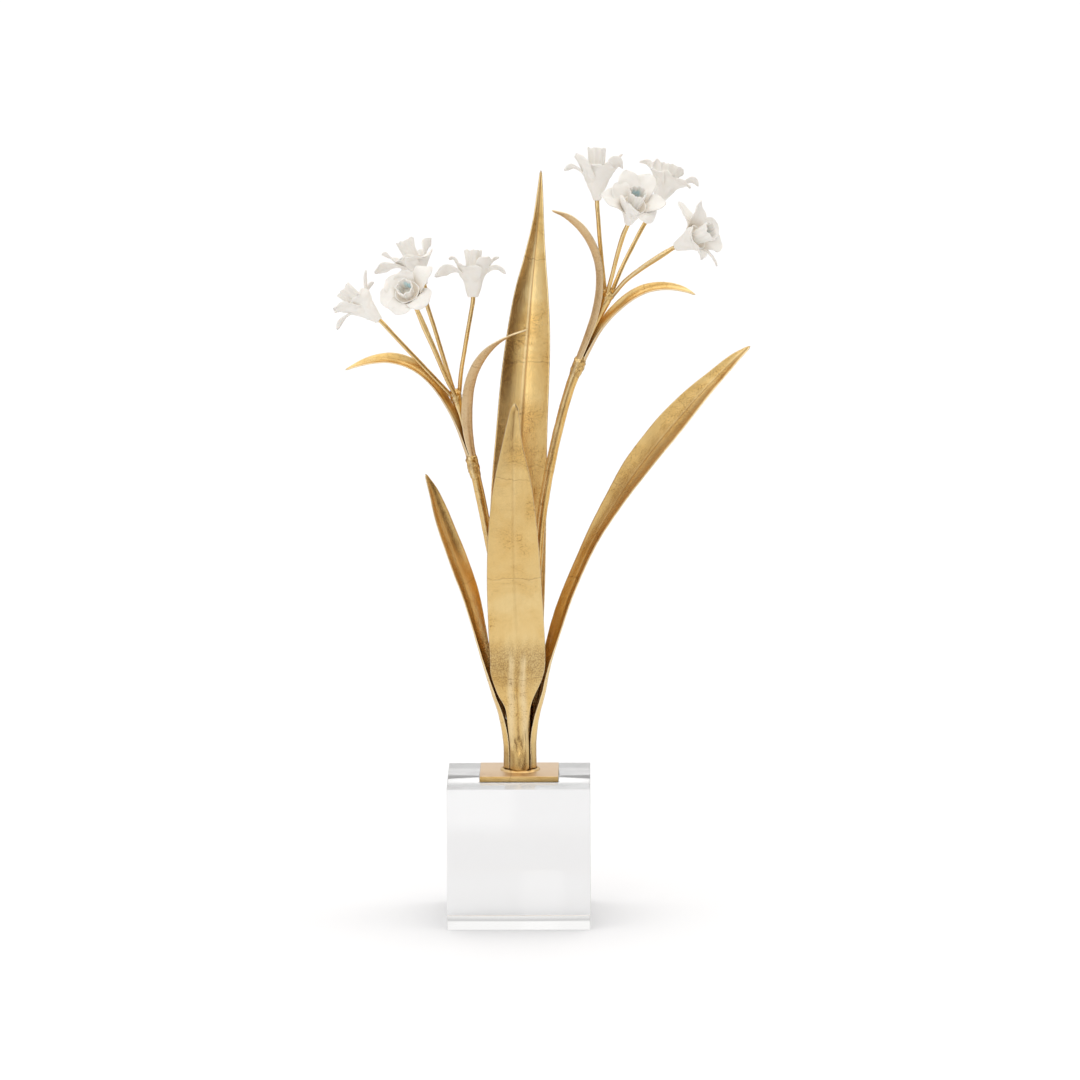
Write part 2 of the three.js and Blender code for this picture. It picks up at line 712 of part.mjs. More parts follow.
for (const [name, bloomShape] of Object.entries(BLOOMS)) {
  const { foot, axis, neck, cup, wire, petals, size = 1 } = bloomShape;
  const up = new THREE.Vector3(...axis).normalize();
  const right = new THREE.Vector3(1, 0, 0).addScaledVector(up, -up.x).normalize();
  const away = up.clone().cross(right);
  const bloom = new THREE.Mesh(undefined, porcelain);
  bloom.name = name;
  bloom.position.set(...foot);
  bloom.quaternion.setFromRotationMatrix(new THREE.Matrix4().makeBasis(right, away, up));
  bloom.updateMatrix();

  // The wire runs into the foot of the bloom, in a socket that is the wire's own shape and wider.
  const wireTo = (depth, wider) => {
    const onAxis = (height) => bloom.position.clone().addScaledVector(up, height).toArray();
    const route = [...wire, [...onAxis(-2.5), WIRE_RADIUS], [...onAxis(depth), WIRE_RADIUS]];
    const widened = route.map(([x, y, z, radius]) => [x, y, z, radius + wider]);
    return rod(widened, SPLIT.wire.steps, SPLIT.wire.sides);
  };
  const socket = wireTo(SOCKET_DEPTH, GAP).applyMatrix4(bloom.matrix.clone().invert());
  const solid = bloomSolid(neck, cup, petals).scale(size).subtract(solidOf(socket));
  bloom.geometry = geometryFrom(solid);
  ornament.add(bloom);
  place(name.replace("bloom", "wire"), wireTo(SOCKET_DEPTH - GAP, 0), gilt);
}

export default ornament;
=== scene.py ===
"""The looks of a gilt narcissus ornament with porcelain blooms on a clear acrylic block.

Shapes are worked out in millimetres in the part's own frame and turned into metres when a mesh is made.
"""

import math

import bmesh
import bpy
import numpy as np
from mathutils import Matrix, Vector


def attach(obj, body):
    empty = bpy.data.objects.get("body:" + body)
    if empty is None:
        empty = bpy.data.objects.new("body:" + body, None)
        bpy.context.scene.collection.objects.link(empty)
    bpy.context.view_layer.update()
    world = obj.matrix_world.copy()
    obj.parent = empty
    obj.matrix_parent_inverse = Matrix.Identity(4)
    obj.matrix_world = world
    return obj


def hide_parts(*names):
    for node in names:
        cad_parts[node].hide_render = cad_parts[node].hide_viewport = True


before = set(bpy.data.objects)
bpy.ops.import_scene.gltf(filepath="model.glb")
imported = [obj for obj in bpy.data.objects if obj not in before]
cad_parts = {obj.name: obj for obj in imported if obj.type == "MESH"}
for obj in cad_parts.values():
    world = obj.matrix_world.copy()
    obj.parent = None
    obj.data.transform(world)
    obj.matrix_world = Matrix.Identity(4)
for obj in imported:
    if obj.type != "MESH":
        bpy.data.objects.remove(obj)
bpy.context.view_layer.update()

METRE = 0.001  # of a millimetre

# Sizes of the made parts
BLOCK = 101.6
GAP = 0.3
PLATE = {"width": 56, "depth": 54, "thick": 4, "middle": (0.3, 2.5)}
PLATE_TOP = BLOCK + GAP + PLATE["thick"]
FOOT = PLATE_TOP + GAP
BUNDLE = {"middle": (0.85, 4.15), "across": 23.9, "deep": 26.5}
LEAF_SHEET = 1.2
BRACT_SHEET = 1.0
STEM_RADIUS = 3.4
WIRE_RADIUS = 1.55
SOCKET_DEPTH = 5
CUP_RIBS = 8
RIDGE = {"off": 4.2, "wide": 2}  # the two ridges at the front leaf's foot: from the middle, and half width
FLOOR_HALF = 25000

# A leaf's row is one station from foot to tip: x, y, z, width, the arc in degrees that its edges
# are rolled through, and the way its outer face looks, in degrees from +X. keel is how far its crease
# stands out, midrib how dark the painted shade line down the crease is and how bright the painted highlight
# beside it, flute how far its foot's ridges stand out.
LEAVES = {
    "leaf_front": {
        "keel": 0.9,
        "midrib": 0.12,
        "flute": 1.1,
        "rows": [
            (0.6, -7.4, FOOT, 13.3, 120, -90),
            (0.5, -7.4, 124, 13.2, 120, -90),
            (-0.4, -8, 139, 14.6, 104, -90),
            (-0.5, -9.9, 153, 18.4, 56, -90),
            (-1.2, -11.2, 165, 29, 36, -90),
            (-1, -12.4, 177, 37.6, 30, -90),
            (-0.5, -13.8, 190, 39.6, 26, -90),
            (-1.5, -17.5, 218, 39.6, 22, -90),
            (-2.8, -21.5, 250, 38.2, 22, -90),
            (-3.3, -25.5, 284, 34.5, 24, -90),
            (-3.2, -29, 318, 26.2, 26, -90),
            (-3.1, -31.5, 348, 13.6, 26, -90),
            (-1.2, -33, 375.5, 4.5, 20, -90),
        ],
    },
    "leaf_back": {
        "keel": 1.2,
        "midrib": 0.65,
        "flute": 0.6,
        "rows": [
            (0.9, 15.4, FOOT, 13.3, 120, 90),
            (0.9, 15.5, 128, 13.5, 118, 90),
            (0.8, 15.8, 147, 23, 80, 90),
            (0, 16.2, 164, 35, 60, 90),
            (-0.8, 16.6, 182, 38, 52, 90),
            (-1.1, 17, 205, 38, 48, 90),
            (-0.8, 18.5, 238, 39.8, 44, 90),
            (-0.2, 21, 274, 40.3, 44, 90),
            (0.9, 24, 310, 39.2, 44, 90),
            (2.8, 27.5, 346, 36.6, 46, 90),
            (5.3, 31, 383, 34.6, 50, 90),
            (7.8, 34.5, 414, 31, 54, 90),
            (10, 38, 443, 24.7, 56, 90),
            (12.6, 41.5, 469, 15.8, 54, 90),
            (15, 44.5, 494, 8.4, 50, 90),
            (16.3, 46.5, 514, 4.7, 40, 90),
            (17.1, 48, 531, 1.4, 30, 90),
        ],
    },
    "leaf_left": {
        "keel": 1.0,
        "midrib": 0.3,
        "flute": 0,
        "rows": [
            (-9.3, 4, FOOT, 12, 100, 180),
            (-9.6, 4, 126, 12, 98, 180),
            (-12.8, 3.2, 145, 13, 86, 176),
            (-17.5, 1.6, 160, 14, 78, 171),
            (-21.6, -0.6, 175, 15.5, 74, 165),
            (-25.7, -3.4, 192, 17, 70, 158),
            (-29.9, -6.6, 211, 18.3, 66, 152),
            (-35.1, -9.8, 234, 19.2, 60, 146),
            (-42.3, -13.3, 256, 19.2, 56, 142),
            (-49.4, -16.5, 277, 17.5, 52, 140),
            (-54.8, -18.8, 294, 15, 48, 138),
            (-59.6, -20.4, 310, 9.6, 44, 138),
            (-64.8, -21.5, 323.5, 2, 30, 138),
        ],
    },
    "leaf_right": {
        "keel": 1.2,
        "midrib": 0.35,
        "flute": 0,
        "rows": [
            (10.8, 4, FOOT, 12, 100, 0),
            (10.9, 4, 126, 12, 98, 0),
            (13.6, 4, 146, 12.8, 90, 6),
            (17.4, 3.6, 162, 13.5, 84, 12),
            (21, 3, 180, 14.3, 78, 20),
            (25.6, 2.5, 199, 15, 73, 28),
            (31.1, 2, 217, 15.2, 68, 33),
            (37.8, 1, 236, 14.6, 64, 34),
            (46.1, 0, 256, 14.6, 60, 35),
            (56.6, -1.5, 278, 16.2, 56, 38),
            (70.6, -3.2, 302, 20.8, 52, 41),
            (86.6, -4.8, 326, 26, 48, 43),
            (104.6, -6.3, 349, 27, 46, 45),
            (122.6, -7.5, 370.5, 22.8, 44, 47),
            (139.2, -8.7, 388.5, 15.4, 42, 49),
            (153.2, -9.5, 402.5, 10, 40, 50),
            (165, -10, 412.5, 2.4, 30, 50),
        ],
    },
}

# The small leaves at each branch. Their last figure is how far the strip is twisted about its length.
BRACTS = {
    "bract_left_outer": [
        (-35, 0, 331, 6.1, 158, 160, 0),
        (-38.2, -0.3, 341, 7.2, 140, 158, 0),
        (-42, -0.6, 352, 8.4, 124, 155, 0),
        (-46.6, -1.2, 363, 9, 116, 152, 0),
        (-52.6, -2.2, 374.2, 9.2, 112, 150, 0),
        (-59.8, -3.2, 385, 9.4, 110, 148, 6),
        (-68.6, -4.2, 394.2, 9.6, 108, 146, 16),
        (-78.6, -5, 400.4, 9.6, 104, 144, 30),
        (-89.4, -5.6, 403.2, 9.2, 96, 142, 42),
        (-100.4, -6, 402.6, 8.2, 84, 140, 46),
        (-111, -6, 400, 6, 60, 140, 46),
        (-121.5, -6, 395.8, 1.8, 30, 140, 40),
    ],
    "bract_left_inner": [
        (-29.9, -1.9, 332, 6.1, 158, -18, 0),
        (-32.1, -4.1, 343, 8, 140, -36, 0),
        (-34, -6.2, 356, 9.2, 116, -48, 0),
        (-34.4, -7.6, 368.5, 9.6, 96, -51, 0),
        (-33.4, -9, 380.5, 9.6, 82, -51, 0),
        (-30.8, -10.4, 391.6, 9.4, 72, -51, 0),
        (-26.2, -11.6, 401.6, 9.2, 64, -51, 0),
        (-20.2, -12.6, 409.4, 8.8, 58, -51, -4),
        (-13, -13.3, 415.6, 8, 52, -51, -14),
        (-4.4, -13.8, 420.8, 6.2, 44, -51, -22),
        (6.8, -14, 425.2, 1.8, 30, -51, -22),
    ],
    "bract_right_inner": [
        (41.8, 1.8, 401, 6.1, 158, 196, 0),
        (46, 0.8, 411.5, 7.2, 136, 205, 0),
        (50.2, -0.3, 422.5, 8, 110, 210, 0),
        (53.9, -1.4, 433.5, 8.4, 92, 212, 0),
        (56.4, -2.2, 444.5, 8.6, 80, 213, 0),
        (57.7, -2.8, 455.5, 8.7, 70, 213, 0),
        (57.5, -3.1, 467, 8.8, 64, 215, 0),
        (55.2, -3.3, 478, 9, 60, 220, 0),
        (50.6, -3.4, 488.4, 8.8, 56, 226, 0),
        (44, -3.3, 497.4, 8, 52, 230, -4),
        (35.4, -3.1, 504.4, 6, 44, 234, -10),
        (25, -3, 508.8, 1.8, 30, 236, -10),
    ],
    "bract_right_outer": [
        (47.6, 3.2, 399.6, 6.1, 158, 16, 0),
        (52.2, 3.8, 409.4, 7.6, 140, 20, 0),
        (57.2, 4, 419, 8.8, 126, 24, 0),
        (63.4, 3.6, 428.2, 9.2, 118, 26, -4),
        (71, 2.8, 436.8, 9.6, 114, 28, -8),
        (80, 2, 444.4, 10.2, 110, 30, -12),
        (90, 1.2, 450, 10, 106, 31, -18),
        (100, 0.5, 452.6, 9.6, 98, 32, -24),
        (110, 0, 452.8, 8.6, 82, 32, -30),
        (119, -0.4, 451, 6.4, 60, 32, -34),
        (126.4, -0.6, 448, 2, 30, 32, -30),
    ],
}

# Flower stems, as rows of x, y, z and radius.
STEMS = {
    "stem_left": [
        (-4.8, 4.2, FOOT, STEM_RADIUS),
        (-5, 4.2, 130, STEM_RADIUS),
        (-6.2, 4.2, 157, STEM_RADIUS),
        (-8.2, 4.2, 185, STEM_RADIUS),
        (-11, 4, 214, STEM_RADIUS),
        (-15, 3, 242, STEM_RADIUS),
        (-19.8, 2, 269, STEM_RADIUS),
        (-24.6, 0.9, 294, STEM_RADIUS),
        (-28.6, -0.1, 314, STEM_RADIUS),
        (-30.9, -0.7, 324, STEM_RADIUS),
        (-31.9, -1, 328.4, 1.9),
        (-34.2, -1.5, 338, 1.9),
        (-37.1, -2.2, 350, 1.9),
        (-39.6, -2.9, 361, 2),
        (-41.6, -3.4, 369.5, 3.1),
        (-43.2, -3.7, 376.6, 3.4),
    ],
    "stem_right": [
        (6.3, 4.2, FOOT, STEM_RADIUS),
        (6.4, 4.2, 134, STEM_RADIUS),
        (7.4, 4.4, 166, STEM_RADIUS),
        (9.6, 4.7, 198, STEM_RADIUS),
        (11.9, 5.2, 229, STEM_RADIUS),
        (14.2, 5.8, 258, STEM_RADIUS),
        (17, 6, 288, STEM_RADIUS),
        (21.2, 5.9, 314, STEM_RADIUS),
        (25.8, 5.2, 337, STEM_RADIUS),
        (30.8, 4.4, 358, STEM_RADIUS),
        (36, 3.6, 377, STEM_RADIUS),
        (40.2, 3.1, 389, 3.6),
        (42.3, 2.9, 394.4, 3.6),
        (43.6, 2.8, 397.6, 1.9),
        (48.1, 2.6, 409, 1.9),
        (53.2, 2.3, 421, 1.9),
        (58.2, 2.1, 432.4, 2.4),
        (62.2, 1.9, 441.6, 3.4),
        (64.9, 1.8, 447.9, 3.4),
    ],
}

# A bloom's foot, the way it looks, the radius of its neck, how far its cup stands above the mouth and
# the cup's radius at the rim, its wire's route, and its petals: the way each points round the bloom,
# how far its tip reaches, how far the tip rises above the mouth, its width, the arc it is curled
# through, the width of its tip, how far it is twisted by its tip, and how far it arches up. A bloom
# that gives a size is drawn larger by that much.
BLOOMS = {
    "bloom_left_1": {
        "foot": (-97.1, -9, 431.7),
        "axis": (-0.76, 0.1, 0.64),
        "neck": 3,
        "cup": {"tall": 15, "rim": 6.2},
        "wire": [
            (-46.4, -4.4, 376.6, 1.5),
            (-58.5, -7.4, 390.2, 1.5),
            (-74, -8.8, 407, 1.5),
            (-87.2, -9.4, 421.4, 1.5),
        ],
        "petals": [
            (350, 21, 11.5, 3.8, 60, 3, 25, 0),
            (18, 19, 2, 7, 80, 1.5, 20, 1),
            (95, 18, 4, 14, 40, 6, 0, 1),
            (184, 24.5, 0, 4.5, 60, 5.5, -50, 1.3),
            (222, 19.5, 11, 15, 20, 5, 0, 1),
            (290, 12, 4, 19, 80, 12, 0, 1),
        ],
    },
    "bloom_left_2": {
        "foot": (-65.9, 10, 454),
        "axis": (-0.4, 0.18, 0.9),
        "neck": 3.3,
        "cup": {"tall": 16, "rim": 6.2},
        "wire": [
            (-44.2, -0.8, 377.2, 1.5),
            (-51.4, 3, 400.4, 1.5),
            (-58.4, 6.6, 423.4, 1.5),
            (-64, 8.8, 441.4, 1.5),
        ],
        "petals": [
            (158, 20, 14, 13, 30, 8, -25, 1),
            (183, 28.5, 3.5, 13, 40, 9, -35, 1),
            (12, 18.5, 10.5, 11, 40, 2, 40, 1),
            (238, 14, 4.5, 19, 30, 14, 0, 1),
            (302, 15.5, -1.5, 23, 50, 17, 0, 1),
            (80, 18, 6, 16, 30, 9, 0, 1),
        ],
    },
    "bloom_left_3": {
        "foot": (-71.7, -22.9, 444.2),
        "axis": (-0.27, -0.75, 0.61),
        "neck": 3.3,
        "cup": {"tall": 7.5, "rim": 6.4},
        "wire": [
            (-43.6, -6.8, 377.2, 1.5),
            (-49.6, -9, 389.4, 1.6),
            (-57.6, -11.8, 409.4, 1.8),
            (-65.4, -15, 428, 2),
        ],
        "petals": [
            (145, 17.5, 4, 16, 20, 11, 0, 1),
            (100, 15.5, 5, 15, 20, 10, 0, 1),
            (38, 24.5, 4, 19, 30, 9, 20, 2),
            (320, 20.5, 1, 20, 20, 15, 0, 1),
            (246, 19, 0, 18, 20, 12, 0, 1),
            (198, 20, 1, 18, 20, 12, 0, 1),
        ],
    },
    "bloom_left_4": {
        "foot": (-31.1, 10, 445.4),
        "axis": (0.01, 0.18, 0.98),
        "neck": 3.8,
        "cup": {"tall": 14.5, "rim": 6.2},
        "wire": [
            (-41, -2.2, 378.2, 1.5),
            (-39.6, 1, 393.4, 1.5),
            (-36, 5.4, 415, 1.5),
            (-32.6, 8.6, 434, 1.5),
        ],
        "petals": [
            (178, 17.5, 8.5, 6, 50, 4, -30, 3.3),
            (186, 27.5, -4.5, 11, 30, 2, -60, 3),
            (25, 20, 10.5, 5, 50, 2, 25, 1),
            (358, 23, -1.8, 7, 70, 2, 30, 3.3),
            (250, 12.8, 2.5, 20, 60, 14, 0, 1),
            (318, 15, 9.5, 14, 40, 8, 0, 1),
        ],
    },
    "bloom_right_1": {
        "size": 1.1,
        "foot": (57.1, 10, 514),
        "axis": (-0.005, 0.16, 0.99),
        "neck": 2.6,
        "cup": {"tall": 15.2, "rim": 6},
        "wire": [
            (62.6, 3.9, 449.4, 1.5),
            (60.8, 5.4, 466, 1.5),
            (59, 7.4, 485, 1.5),
            (57.8, 9, 502, 1.5),
        ],
        "petals": [
            (182, 21.2, 1, 6, 60, 3, -30, 2.6),
            (212, 15.5, 11.5, 16, 50, 3, 0, 0),
            (20, 17.5, 11.5, 5, 40, 3, 30, 0),
            (345, 17.5, 2, 13, 60, 3, 25, 4),
            (290, 12, 4.2, 19, 70, 13, 0, 1),
            (90, 16, 6, 14, 30, 7, 0, 1),
        ],
    },
    "bloom_right_2": {
        "foot": (79, -18, 501.5),
        "axis": (0.22, -0.6, 0.77),
        "neck": 3,
        "cup": {"tall": 13.5, "rim": 6.3},
        "wire": [
            (64, -0.8, 448.8, 1.5),
            (68, -4.4, 464, 1.5),
            (71.8, -9, 479.6, 1.6),
            (75.4, -14, 492, 1.7),
        ],
        "petals": [
            (143, 19.5, 6, 17, 20, 13, 0, 1),
            (178, 25, 4, 16, 20, 5, 0, 1),
            (232, 11.5, 10, 19, 60, 14, 0, 0),
            (318, 18, -3, 18, 20, 13, 0, 2),
            (8, 22.5, 4, 16, 20, 9, 0, 1),
            (108, 25.5, 9, 15, 20, 8, 0, 1),
            (68, 26, 9, 16, 20, 9, 0, 1),
        ],
    },
    "bloom_right_3": {
        "foot": (99.4, 26, 509),
        "axis": (0.4, 0.25, 0.88),
        "neck": 3,
        "cup": {"tall": 11, "rim": 8.4},
        "wire": [
            (66.7, 4, 447.8, 1.5),
            (74, 10.4, 464.8, 1.5),
            (82.6, 17, 481.4, 1.5),
            (90.6, 22.4, 495.6, 1.5),
        ],
        "petals": [
            (178, 23.7, 5, 7, 60, 2, -30, 3),
            (4, 22, 5.7, 7, 50, 2, 30, 4),
            (330, 20, 0.2, 13, 40, 7, 0, 2),
            (215, 16, 2, 16, 40, 7, 0, 1),
            (285, 12.5, 3, 19, 60, 14, 0, 1),
            (140, 17.5, 13.5, 14, 20, 2, 0, 0),
        ],
    },
    "bloom_right_4": {
        "foot": (112.6, -14, 484),
        "axis": (0.81, -0.41, 0.42),
        "neck": 3.4,
        "cup": {"tall": 12.5, "rim": 6.6},
        "wire": [
            (67.9, 0, 447.4, 1.5),
            (77, -4.6, 458.6, 1.6),
            (88.4, -8.6, 468, 1.8),
            (101.4, -11.8, 477, 2),
        ],
        "petals": [
            (124, 28.5, -4.5, 11, 30, 6, 0, 1),
            (104, 25.5, 8, 18, 20, 15, -25, 1),
            (52, 21.5, 8, 16, 20, 11, 0, 1),
            (12, 22, 6, 17, 20, 12, 0, 1),
            (292, 17, -1, 11, 40, 6, 0, 1),
            (330, 25.5, 1.5, 5, 60, 2.5, 30, 1),
            (222, 12, 1, 19, 60, 14, 0, 1),
        ],
    },
}

MOUTH = {"radius": 8.9, "z": 18.5}
CUP_FOOT = {"radius": 4.6, "z": 15}
CUP_WALL = 1.1
PETAL_THICK = 1.1
PETAL_LAP = 8  # the turn by which each petal lies over the next


# Curves


def along(rows, t):
    """The rows at the places t, from 0 to len(rows) - 1, on a smooth curve through rows of numbers."""
    rows = np.asarray(rows, float)
    t = np.atleast_1d(np.asarray(t, float))
    i = np.clip(np.floor(t).astype(int), 0, len(rows) - 2)
    f = (t - i)[:, None]
    padded = np.vstack([2 * rows[0] - rows[1], rows, 2 * rows[-1] - rows[-2]])
    a, b, c, d = (padded[i + k] for k in range(4))
    square = 2 * a - 5 * b + 4 * c - d
    cube = 3 * (b - c) + d - a
    return b + 0.5 * f * (c - a + f * (square + f * cube))


def unit(vectors):
    return vectors / np.linalg.norm(vectors, axis=-1, keepdims=True)


def direction_at(rows, t):
    places = np.asarray(rows, float)[:, :3]
    end = len(places) - 1
    before = along(places, np.maximum(t - 0.01, 0))
    after = along(places, np.minimum(t + 0.01, end))
    return unit(after - before)


def travelled_along(places):
    """How far along a route of points each of them lies."""
    return np.concatenate([[0], np.cumsum(np.linalg.norm(np.diff(places, axis=0), axis=1))])


def turned_about(vectors, axes, degrees):
    """Each vector turned about its own axis."""
    angle = np.radians(degrees)[:, None]
    across = np.cross(axes, vectors)
    return vectors * np.cos(angle) + across * np.sin(angle)


def smooth(low, high, x):
    f = np.clip((x - low) / (high - low), 0, 1)
    return f * f * (3 - 2 * f)


def wobble(points, size, seed):
    """Smooth noise, about from -1 to 1, with lumps of about that size, the same on each run."""
    waves = 7
    rng = np.random.default_rng(seed)
    points = np.asarray(points, float)
    total = np.zeros(points.shape[:-1])
    for _ in range(waves):
        way = unit(rng.normal(size=points.shape[-1])) * (2 * math.pi / size) * rng.uniform(0.5, 1.3)
        total += np.sin(points @ way + rng.uniform(0, 2 * math.pi))
    return total / math.sqrt(waves) / 1.5


# Meshes


def ring_faces(rings, sides):
    """Quads between rings of points."""
    faces = []
    for i in range(rings - 1):
        for k in range(sides):
            a, b = i * sides + k, i * sides + (k + 1) % sides
            faces.append((a, b, b + sides, a + sides))
    return faces


def capped_faces(rings, sides):
    """Quads between rings of points, with the first and the last ring filled."""
    first, last = range(sides), range((rings - 1) * sides, rings * sides)
    return [*ring_faces(rings, sides), tuple(reversed(first)), tuple(last)]


def make_piece(name, shells, material, node, smooth_angle=40):
    """One object from shells of (points, faces, values); values holds the figures that its material reads."""
    points, faces, columns = [], [], {}
    for shell_points, shell_faces, values in shells:
        start = sum(len(p) for p in points)
        points.append(np.asarray(shell_points, float))
        faces.extend(tuple(start + v for v in face) for face in shell_faces)
        for key, value in values.items():
            columns.setdefault(key, []).append(np.asarray(value, float))
    points = np.vstack(points)
    mesh = bpy.data.meshes.new(name)
    mesh.from_pydata((points * METRE).tolist(), [], faces)
    for key, parts in columns.items():
        data = np.concatenate(parts)
        kind = "FLOAT_VECTOR" if data.ndim == 2 else "FLOAT"
        attribute = mesh.attributes.new(key, kind, "POINT")
        attribute.data.foreach_set("vector" if data.ndim == 2 else "value", data.ravel().astype(np.float32))
    mesh.validate()
    piece = bpy.data.objects.new(name, mesh)
    bpy.context.scene.collection.objects.link(piece)
    mesh.materials.append(material)
    mesh.shade_smooth()
    mesh.set_sharp_from_angle(angle=math.radians(smooth_angle))
    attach(piece, "root")
    if node:
        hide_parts(node)
    return piece


def strip_shell(rows, thick, steps, across, shape):
    """A bent strip of sheet with thin rounded edges, as outer and inner face joined at the edges.

    shape(u, v, width) gives how far the middle of the sheet stands out, on top of its rolled arc.
    """
    rows = np.asarray(rows, float)
    if rows.shape[1] == 6:
        rows = np.hstack([rows, np.zeros((len(rows), 1))])
    end = len(rows) - 1
    t = np.linspace(0, end, steps + 1)
    middle = along(rows, t)
    forward = direction_at(rows, t)
    width, roll, face, twist = middle[:, 3], np.radians(middle[:, 4]), np.radians(middle[:, 5]), middle[:, 6]
    side = np.stack([-np.sin(face), np.cos(face), np.zeros_like(face)], 1)
    side = unit(side - forward * np.sum(side * forward, 1, keepdims=True))
    side = turned_about(side, forward, -twist)
    outward = np.cross(side, forward)
    travelled = travelled_along(middle[:, :3])
    v = travelled / travelled[-1]
    left = travelled[-1] - travelled
    rounding = np.minimum(width[-1] * 0.9 + 0.6, 6.0)
    taper = np.sqrt(np.clip(1 - (1 - np.clip(left / rounding, 0, 1)) ** 2, 0.02, 1))
    width = np.maximum(width * taper, 0.25)

    # Points crowd towards the edges, where the sheet is rounded off.
    crowding = math.pi / 2 * 0.94
    u = np.sin(np.linspace(-1, 1, across + 1) * crowding) / math.sin(crowding)
    uu, vv = np.meshgrid(u, v)
    radius = (width / 2 / np.sin(roll / 2))[:, None]

    def section(place):
        angle = place * roll[:, None] / 2
        return radius * np.sin(angle), radius * (np.cos(angle) - 1) + shape(place, vv, width[:, None])

    x, y = section(uu)
    x1, y1 = section(uu + 0.02)
    x0, y0 = section(uu - 0.02)
    run = unit(np.stack([x1 - x0, y1 - y0], -1))
    edge = np.clip((1 - np.abs(uu)) * width[:, None] / 2 / (0.7 * thick), 0, 1)
    half = thick / 2 * np.sqrt(np.clip(1 - (1 - edge) ** 2, 0.03, 1))
    shells = []
    for way in (1, -1):
        sx = x - way * run[..., 1] * half
        sy = y + way * run[..., 0] * half
        shells.append(
            middle[:, None, :3] + side[:, None, :] * sx[..., None] + outward[:, None, :] * sy[..., None]
        )
    outer, inner = shells
    points = np.concatenate([outer, inner[:, ::-1]], 1)
    columns = points.shape[1]
    faces = ring_faces(len(t), columns)
    for base, flip in ((0, True), ((len(t) - 1) * columns, False)):
        for k in range(across):
            quad = (base + k, base + k + 1, base + columns - 2 - k, base + columns - 1 - k)
            faces.append(quad[::-1] if flip else quad)
    across_mm = np.concatenate([uu, uu[:, ::-1]], 1) * width[:, None] / 2
    depth = np.concatenate([np.ones_like(uu), -np.ones_like(uu)], 1)
    along_mm = np.repeat(travelled[:, None], columns, 1)
    values = {
        "grain": np.stack([across_mm, depth * 3, along_mm], -1).reshape(-1, 3),
        "outer": (depth > 0).astype(float).ravel(),
        # Where a painted highlight lies, along the sheet's rounded edges.
        "edge": 1 - np.concatenate([edge, edge[:, ::-1]], 1).ravel(),
    }
    return points.reshape(-1, 3), faces, values


def tube_shell(rows, steps, sides, rough, seed, lumps):
    """A round rod along rows of x, y, z and radius, with lumps on it of about that size."""
    rows = np.asarray(rows, float)
    end = len(rows) - 1
    t = np.linspace(0, end, steps + 1)
    middle = along(rows, t)
    forward = direction_at(rows, t)
    side = unit(np.cross((0.0, 1.0, 0.0), forward))
    up = np.cross(forward, side)
    travelled = travelled_along(middle[:, :3])
    angle = np.linspace(0, 2 * math.pi, sides, endpoint=False)
    ring = side[:, None] * np.cos(angle)[None, :, None] + up[:, None] * np.sin(angle)[None, :, None]
    even = middle[:, None, :3] + ring * middle[:, 3][:, None, None]
    radius = middle[:, 3][:, None] + rough * wobble(even, lumps, seed)
    radius = radius + rough * 0.5 * wobble(even, lumps / 3, seed + 1)
    points = middle[:, None, :3] + ring * radius[..., None]
    length = np.repeat(travelled[:, None], sides, 1)
    grain = np.dstack([np.cos(angle) * radius, np.sin(angle) * radius, length])
    # A painted highlight runs along the front and the back of a rod, beside a painted dark reflection line,
    # and its sides are painted darker.
    across = np.broadcast_to(ring[..., 0], points.shape[:2])
    fitful = 0.7 + 0.3 * wobble(points, 30, seed + 2)
    painted_light = fitful * np.exp(-(((across + 0.38) / 0.2) ** 2))
    dark = fitful * np.exp(-(((across - 0.08) / 0.15) ** 2)) + 0.5 * smooth(0.86, 0.98, np.abs(across))
    values = {"grain": grain.reshape(-1, 3), "edge": painted_light.ravel(), "dark": dark.ravel()}
    return points.reshape(-1, 3), capped_faces(len(t), sides), values


def turned_shell(profile, per_span, sides, bend):
    """A closed solid turned round the z axis from radius and height rows.

    bend(angle, radius, z, place) gives the radius and height that each point moves to.
    """
    spans = len(profile) - 1
    place = np.linspace(0, spans, spans * per_span + 1)
    curve = along(profile, place)
    angle = np.linspace(0, 2 * math.pi, sides, endpoint=False)
    aa, pp = np.meshgrid(angle, place)
    rr, zz = np.repeat(curve[:, :1], sides, 1), np.repeat(curve[:, 1:], sides, 1)
    rr, zz = bend(aa, rr, zz, pp)
    points = np.stack([rr * np.cos(aa), rr * np.sin(aa), zz], -1).reshape(-1, 3)
    return points, capped_faces(len(place), sides), pp.ravel()


# Materials


def new_material(name):
    material = bpy.data.materials.new(name)
    material.use_nodes = True
    tree = material.node_tree
    return material, tree, tree.nodes["Principled BSDF"]


def set_inputs(tree, made, inputs):
    """Each input is linked to a socket, or set to a value."""
    for key, value in inputs.items():
        if isinstance(value, bpy.types.NodeSocket):
            tree.links.new(value, made.inputs[key])
        else:
            made.inputs[key].default_value = value


def node(tree, kind, inputs=None, **settings):
    made = tree.nodes.new(kind)
    for key, value in settings.items():
        setattr(made, key, value)
    set_inputs(tree, made, inputs or {})
    return made


def noise(tree, vector, scale, detail, roughness, distortion=0.0):
    inputs = {"Scale": scale, "Detail": detail, "Roughness": roughness, "Distortion": distortion}
    return node(tree, "ShaderNodeTexNoise", {"Vector": vector, **inputs}).outputs["Fac"]


def ramp(tree, value, low, high, to_low=0.0, to_high=1.0):
    inputs = {"Value": value, "From Min": low, "From Max": high, "To Min": to_low, "To Max": to_high}
    return node(tree, "ShaderNodeMapRange", inputs).outputs["Result"]


def mix_colour(tree, factor, first, second):
    colours = [c if isinstance(c, bpy.types.NodeSocket) else (*c, 1.0) for c in (first, second)]
    inputs = {0: factor, 6: colours[0], 7: colours[1]}
    return node(tree, "ShaderNodeMix", inputs, data_type="RGBA").outputs[2]


